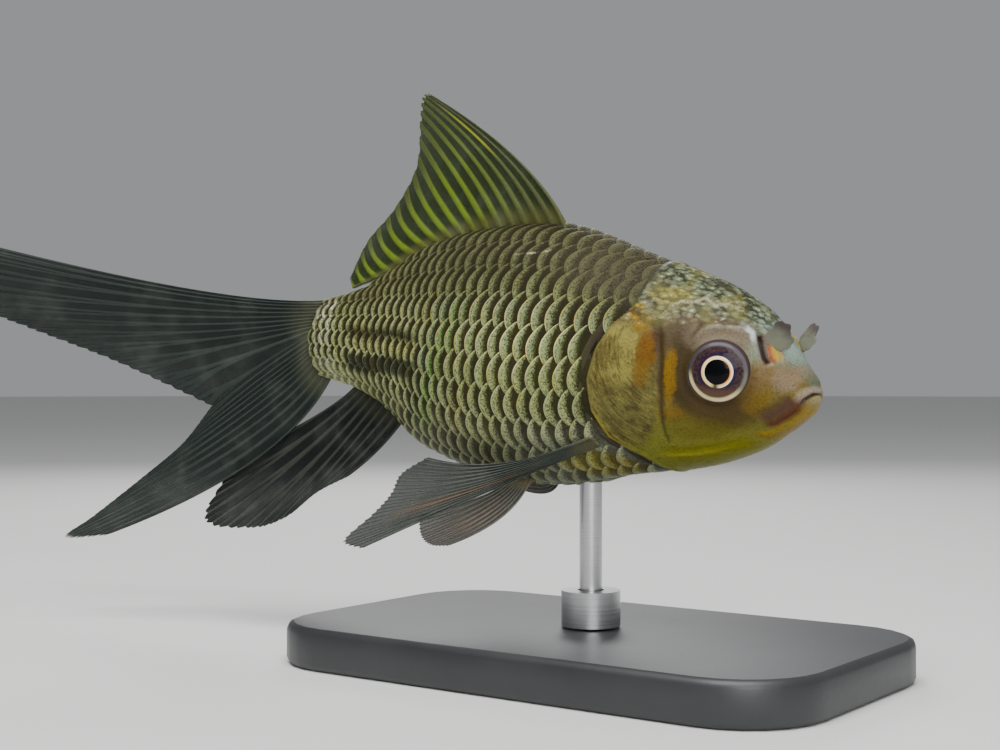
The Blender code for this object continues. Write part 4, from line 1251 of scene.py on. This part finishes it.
PELVIC_MARGIN = ((0.601, -0.302, 0.108), (0.642, -0.306, 0.106), (0.669, -0.293, 0.100),
                 (0.685, -0.262, 0.088))
LEFT_PECTORAL_FOLD = math.radians(18.0)
LEFT_PELVIC_FOLD = math.radians(36.0)
TAIL_SWING = 0.16
UPPER_CURL = 5.6
LOWER_CURL = 2.8
DORSAL_LEAN = 0.10
ANAL_LEAN = 0.12
ROOT_CLEARANCE = 0.005
STEPS_PER_RAY = 12
SKIN_WALL = 0.00005
FIRST_FORK = 0.30
SECOND_FORK = 0.62
# radians of the wave that draws a ray's joints, from root to margin
JOINT_WAVE = 240.0


def midline(outline, sway):
    """Points of a line on the fish's middle plane, set aside by the sway."""
    station, height = np.asarray(outline, float).T
    return np.stack([along(station), sway(station, height), height * STANDARD_LENGTH], axis=1)


def on_outline(ends, column, rise):
    """A fin's root line along the back or the belly, from the profile's own column."""
    stations = np.linspace(*ends, 7)
    heights = curve_through(PROFILE[:, 0], PROFILE[:, column], stations)
    return np.stack([stations, heights + rise], axis=1)


def tail_sway(station, height):
    """The tail swings to the right, the upper lobe more than the lower one."""
    past = np.clip((station - BODY_END) * STANDARD_LENGTH, 0.0, None)
    curl = LOWER_CURL + (UPPER_CURL - LOWER_CURL) * eased(height, -0.22, -0.02)
    return -TAIL_SWING * past - curl * past ** 2


def dorsal_sway(station, height):
    return -DORSAL_LEAN * np.clip(height - 0.28, 0.0, None) * STANDARD_LENGTH


def anal_sway(station, height):
    return -ANAL_LEAN * np.clip(-0.12 - height, 0.0, None) * STANDARD_LENGTH


def paired(outline, hinge, side, fold):
    """Points of a line of a left or right fin, folded about its hinge in side view."""
    station, height, out = np.asarray(outline, float).T
    folded = turned(np.stack([station - hinge[0], height - hinge[1]], axis=1), fold, 0, 1) + hinge[:2]
    across = side * out * STANDARD_LENGTH
    return np.stack([along(folded[:, 0]), across, folded[:, 1] * STANDARD_LENGTH], axis=1)


def ray_relief(place, out, spread, breadth):
    """How strongly a place across and out along a fan belongs to a ray: 1 on its crest."""
    from_ray = place - np.round(place)
    first = spread[0] * eased(out, FIRST_FORK, 1.0)
    second = spread[1] * eased(out, SECOND_FORK, 1.0)
    width = breadth * (1.0 - 0.6 * eased(out, 0.0, 0.9))
    crest = np.zeros(np.broadcast(place, out).shape)
    for fork in (-1.0, 1.0):
        for twig in (-1.0, 1.0):
            crest = np.maximum(crest, bell(from_ray, fork * first + twig * second, width))
    return crest


def make_fin(name, node, lines, rays, rows, finish, root_depth=0.10, ray_wall=0.00020, root_wall=0.00022,
             in_by=0.0, notch=0.018, first_stout=0.0, spread=(0.25, 0.11), breadth=0.20):
    """A ribbed fan between its root, middle and margin lines."""
    columns = rays * STEPS_PER_RAY + 1
    place = np.linspace(0.0, rays, columns)
    across = place / rays
    start, pull, end = [curve_through(np.linspace(0.0, 1.0, len(line)), line, across) for line in lines]
    way = -root_depth + (1.0 + root_depth) * np.linspace(0.0, 1.0, rows)
    out = np.clip(way, 0.0, 1.0)
    crest = ray_relief(place[:, None], out[None, :], spread, breadth)
    stretched = 1.0 - notch * (1.0 - crest[:, -1:]) * out[None, :] ** 3
    reach = (way[None, :] * stretched)[:, :, None]
    sheet = ((1 - reach) ** 2 * start[:, None] + 2 * reach * (1 - reach) * pull[:, None]
             + reach ** 2 * end[:, None])
    inward = np.clip(0.10 - way, 0.0, None)[None, :] / (0.10 + root_depth)
    sheet[:, :, 1] -= np.sign(sheet[:, :, 1]) * in_by * inward ** 1.5
    normals = np.cross(np.gradient(sheet, axis=0), np.gradient(sheet, axis=1))
    normals /= np.maximum(np.linalg.norm(normals, axis=2), 1e-12)[:, :, None]
    stout = 1.0 + first_stout * bell(place, 0.0, 0.6)[:, None]
    wall = SKIN_WALL + ray_wall * crest * stout * (1.0 - 0.72 * out)[None, :]
    wall = wall + root_wall * np.exp(-np.clip(way + 0.03, 0.0, None) / 0.06)[None, :]
    wall = wall * np.minimum(1.0, 0.35 + np.minimum(place, rays - place) * 3.0)[:, None]
    points = np.vstack([(sheet + normals * wall[:, :, None]).reshape(-1, 3),
                        (sheet - normals * wall[:, :, None]).reshape(-1, 3)])
    fin = new_piece(name, in_the_room(points), sheet_faces(columns, rows))
    set_field(fin, "crest", np.tile(crest.ravel(), 2))
    places = np.stack([np.repeat(across, rows), np.tile(out, columns), np.zeros(columns * rows)], axis=1)
    set_field(fin, "fan", np.vstack([places, places]))
    fin.data.materials.append(finish)
    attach(fin, "root")
    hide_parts(node)


def make_fin_finish(name, ray, web, root, web_alpha, root_share=0.75, front=None, streak=None):
    """Pale bony rays in dark smoky skin, which lets a little light through.

    A fin may have rays of another tone at its front and margin, and one bright streak along a ray.
    """
    finish, shader, start = new_finish(name, 0.50, specular=0.10)
    crest = start.field("crest")
    across = start.node("ShaderNodeSeparateXYZ", None, {"Vector": start.field("fan", "Vector")})
    out = across.also("Y")
    cloud = start.grain(160.0, 3.0, 0.6)
    speck = start.grain(3600.0, 2.0, 0.7)
    if front:
        leading = across.eased(0.45, 0.05).most(out.eased(0.35, 0.95) * 0.85)
        ray = leading.between(ray, front)
    tone = (crest.eased(0.20, 0.80) * (1.0 - out.eased(0.55, 1.0) * 0.35)).between(web, ray)
    tone = (out.eased(0.14, 0.0) * root_share).between(tone, root)
    tone = (cloud.eased(0.45, 0.75) * 0.12).between(tone, pigment(150, 156, 146))
    tone = (speck.eased(0.50, 0.36) * 0.30).between(tone, pigment(34, 34, 28))
    if streak:
        on_way = out.eased(streak["start"], streak["start"] + 0.2) * out.eased(0.95, 0.7)
        lit = across.near(streak["across"], streak["width"]) * on_way * crest.eased(0.2, 0.7)
        tone = (lit * streak["weight"]).between(tone, streak["tone"])
    joints = (out * JOINT_WAVE).sine().eased(0.80, 1.0) * crest.eased(0.5, 0.9)
    tone = (joints * 0.20 * out.eased(0.1, 0.3)).between(tone, pigment(36, 36, 32))
    feed(shader, "Base Color", tone)
    film = web_alpha + out.eased(0.30, 0.0) * (1.0 - web_alpha) - out.eased(0.45, 1.0) * 0.16
    feed(shader, "Alpha", (film + (0.98 - film) * crest.eased(0.15, 0.70)).least(1.0))
    return finish


dorsal_finish = make_fin_finish(
    "dorsal_film", ray=pigment(124, 146, 60), web=pigment(50, 60, 36), root=pigment(92, 92, 58),
    web_alpha=0.88, front=pigment(98, 102, 72),
    streak={"tone": pigment(190, 192, 74), "across": 0.12, "width": 0.035, "weight": 0.65, "start": 0.42})
tail_finish = make_fin_finish(
    "tail_film", ray=pigment(66, 73, 69), web=pigment(36, 42, 40), root=pigment(104, 106, 84),
    web_alpha=0.88, root_share=0.50)
anal_finish = make_fin_finish(
    "anal_film", ray=pigment(68, 71, 66), web=pigment(24, 28, 27), root=pigment(70, 70, 54),
    web_alpha=0.90, root_share=0.50)
pectoral_finish = make_fin_finish(
    "pectoral_film", ray=pigment(112, 118, 112), web=pigment(52, 56, 50), root=pigment(120, 114, 86),
    web_alpha=0.84,
    streak={"tone": pigment(200, 150, 118), "across": 0.66, "width": 0.14, "weight": 0.45, "start": 0.20})
pelvic_finish = make_fin_finish(
    "pelvic_film", ray=pigment(138, 134, 124), web=pigment(76, 76, 70), root=pigment(150, 140, 112),
    web_alpha=0.84,
    streak={"tone": pigment(200, 160, 140), "across": 0.40, "width": 0.40, "weight": 0.30, "start": 0.20})

dorsal_lines = [midline(line, dorsal_sway)
                for line in (on_outline(DORSAL_BASE, 1, ROOT_CLEARANCE), DORSAL_MIDDLE, DORSAL_MARGIN)]
make_fin("dorsal_fan", "dorsal_fin", dorsal_lines, 17, 56, dorsal_finish, first_stout=0.5,
         spread=(0.13, 0.06), breadth=0.26)
anal_lines = [midline(line, anal_sway)
              for line in (on_outline(ANAL_BASE, 2, -ROOT_CLEARANCE), ANAL_MIDDLE, ANAL_MARGIN)]
make_fin("anal_fan", "anal_fin", anal_lines, 8, 56, anal_finish, first_stout=0.3, root_wall=0.00020)
for name, lines in (("upper", (UPPER_LOBE_ROOT, UPPER_LOBE_MIDDLE, UPPER_LOBE_MARGIN)),
                    ("lower", (LOWER_LOBE_ROOT, LOWER_LOBE_MIDDLE, LOWER_LOBE_MARGIN))):
    lobe = [midline(line, tail_sway) for line in lines]
    make_fin(f"tail_fan_{name}", f"tail_lobe_{name}", lobe, 11, 84, tail_finish, root_depth=0.06,
             ray_wall=0.00018)
pectoral_lines = (PECTORAL_ROOT, PECTORAL_MIDDLE, PECTORAL_MARGIN)
pelvic_lines = (PELVIC_ROOT, PELVIC_MIDDLE, PELVIC_MARGIN)
for name, lines, left_fold, rays, in_by, finish in (
        ("pectoral", pectoral_lines, LEFT_PECTORAL_FOLD, 12, 0.0016, pectoral_finish),
        ("pelvic", pelvic_lines, LEFT_PELVIC_FOLD, 8, 0.0006, pelvic_finish)):
    hinge = lines[0][0]
    for word, side, fold in (("left", 1, left_fold), ("right", -1, 0.0)):
        root = paired(lines[0], hinge, side, 0.0)
        free = [paired(line, hinge, side, fold) for line in lines[1:]]
        make_fin(f"{name}_fan_{word}", f"{name}_fin_{word}", (root, *free), rays, 52, finish, in_by=in_by,
                 notch=0.010, spread=(0.24, 0.0), breadth=0.19)

# ------------------------------------------------------------------------------------ the stand
# The base is a plate of aluminium in satin charcoal paint. A turned steel collar on it takes the
# slim steel rod that runs up into the belly; both are brushed round and round on the lathe.
WELD = 0.000002
LEVEL = 0.999


def make_paint_finish():
    finish, shader, start = new_finish("satin_paint", 0.42, coat=0.12, coat_roughness=0.3)
    peel = start.grain(900.0, 2.0, 0.5)
    cloud = start.grain(60.0, 3.0, 0.6)
    feed(shader, "Base Color", cloud.eased(0.3, 0.7).between(display(36, 37, 39), display(43, 44, 46)))
    feed(shader, "Roughness", 0.38 + cloud * 0.12)
    feed_bump(shader, peel, 0.00008, 0.35)
    return finish


def make_steel_finish():
    finish, shader, start = new_finish("brushed_steel", 0.30, metallic=1.0)
    drawn_out = {"Vector": start.object_place(), "Scale": (40.0, 40.0, 9000.0)}
    place = start.node("ShaderNodeMapping", None, drawn_out)
    lines = start.node("ShaderNodeTexNoise", None, {"Vector": place, "Scale": 1.0, "Detail": 2.0})
    feed(shader, "Base Color", lines.eased(0.3, 0.7).between(display(178, 178, 180), display(206, 206, 208)))
    feed(shader, "Roughness", 0.22 + lines * 0.18)
    feed_bump(shader, lines, 0.00003, 0.4)
    return finish


def make_stand_piece(name, node, finish):
    """The solid's own shape with its facets joined: its level faces stay flat and all others look round."""
    piece = new_piece(name, [], [], smooth=False)
    shell = bmesh.new()
    shell.from_mesh(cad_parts[node].data)
    bmesh.ops.remove_doubles(shell, verts=shell.verts, dist=WELD)
    shell.normal_update()
    for face in shell.faces:
        face.smooth = abs(face.normal.z) < LEVEL
    shell.to_mesh(piece.data)
    shell.free()
    piece.data.materials.clear()
    piece.data.materials.append(finish)
    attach(piece, "root")
    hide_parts(node)


steel = make_steel_finish()
make_stand_piece("painted_base", "stand_base", make_paint_finish())
make_stand_piece("turned_collar", "stand_collar", steel)
make_stand_piece("steel_rod", "stand_rod", steel)

# ------------------------------------------------------------------------------------ room, light, camera
# A pale floor and large soft lamps, as in a plain studio: a wide one overhead, a weaker one beside
# the camera, and a strip behind to draw the fins' edges.
FLOOR_RADIUS = 3.0
FLOOR_SIDES = 96
CAMERA_AZIMUTH = math.radians(36.0)
CAMERA_DISTANCE = 0.236
CAMERA_AIM = Vector((-0.0159, 0.0, FISH_PLACE.z - 0.00045))
SENSOR = 36.0
FOCAL = 57.6

floor_turns = np.arange(FLOOR_SIDES) * 2.0 * math.pi / FLOOR_SIDES
floor_rim = np.stack([np.cos(floor_turns), np.sin(floor_turns), np.zeros(FLOOR_SIDES)], axis=1) * FLOOR_RADIUS
floor = new_piece("studio_floor", floor_rim, [tuple(range(FLOOR_SIDES))], smooth=False)
floor_finish, floor_shader, _ = new_finish("pale_floor", 0.75)
floor_shader.inputs["Base Color"].default_value = display(214, 214, 212)
floor.data.materials.append(floor_finish)


def add_lamp(name, place, size, power, aim):
    data = bpy.data.lights.new(name, "AREA")
    data.shape = "RECTANGLE"
    data.size, data.size_y = size
    data.energy = power
    lamp = bpy.data.objects.new(name, data)
    lamp.location = place
    lamp.rotation_euler = (Vector(aim) - Vector(place)).to_track_quat("-Z", "Y").to_euler()
    bpy.context.scene.collection.objects.link(lamp)


add_lamp("overhead", (0.06, -0.16, 0.46), (0.40, 0.30), 3.3, (-0.01, 0.0, 0.04))
add_lamp("beside_camera", (0.30, -0.34, 0.20), (0.26, 0.26), 1.4, (0.0, 0.0, 0.04))
add_lamp("behind", (-0.28, 0.30, 0.26), (0.30, 0.16), 0.9, (-0.03, 0.0, 0.04))

world = bpy.data.worlds.new("studio")
world.use_nodes = True
world.node_tree.nodes["Background"].inputs["Color"].default_value = display(214, 216, 218)
world.node_tree.nodes["Background"].inputs["Strength"].default_value = 0.46
bpy.context.scene.world = world

camera_data = bpy.data.cameras.new("camera")
camera_data.sensor_width = SENSOR
camera_data.lens = FOCAL
camera_data.clip_start = 0.01
camera = bpy.data.objects.new("camera", camera_data)
towards = Vector((math.sin(CAMERA_AZIMUTH), -math.cos(CAMERA_AZIMUTH), 0.0))
camera.location = CAMERA_AIM + towards * CAMERA_DISTANCE
camera.rotation_euler = (math.pi / 2.0, 0.0, CAMERA_AZIMUTH)
bpy.context.scene.collection.objects.link(camera)
bpy.context.scene.camera = camera
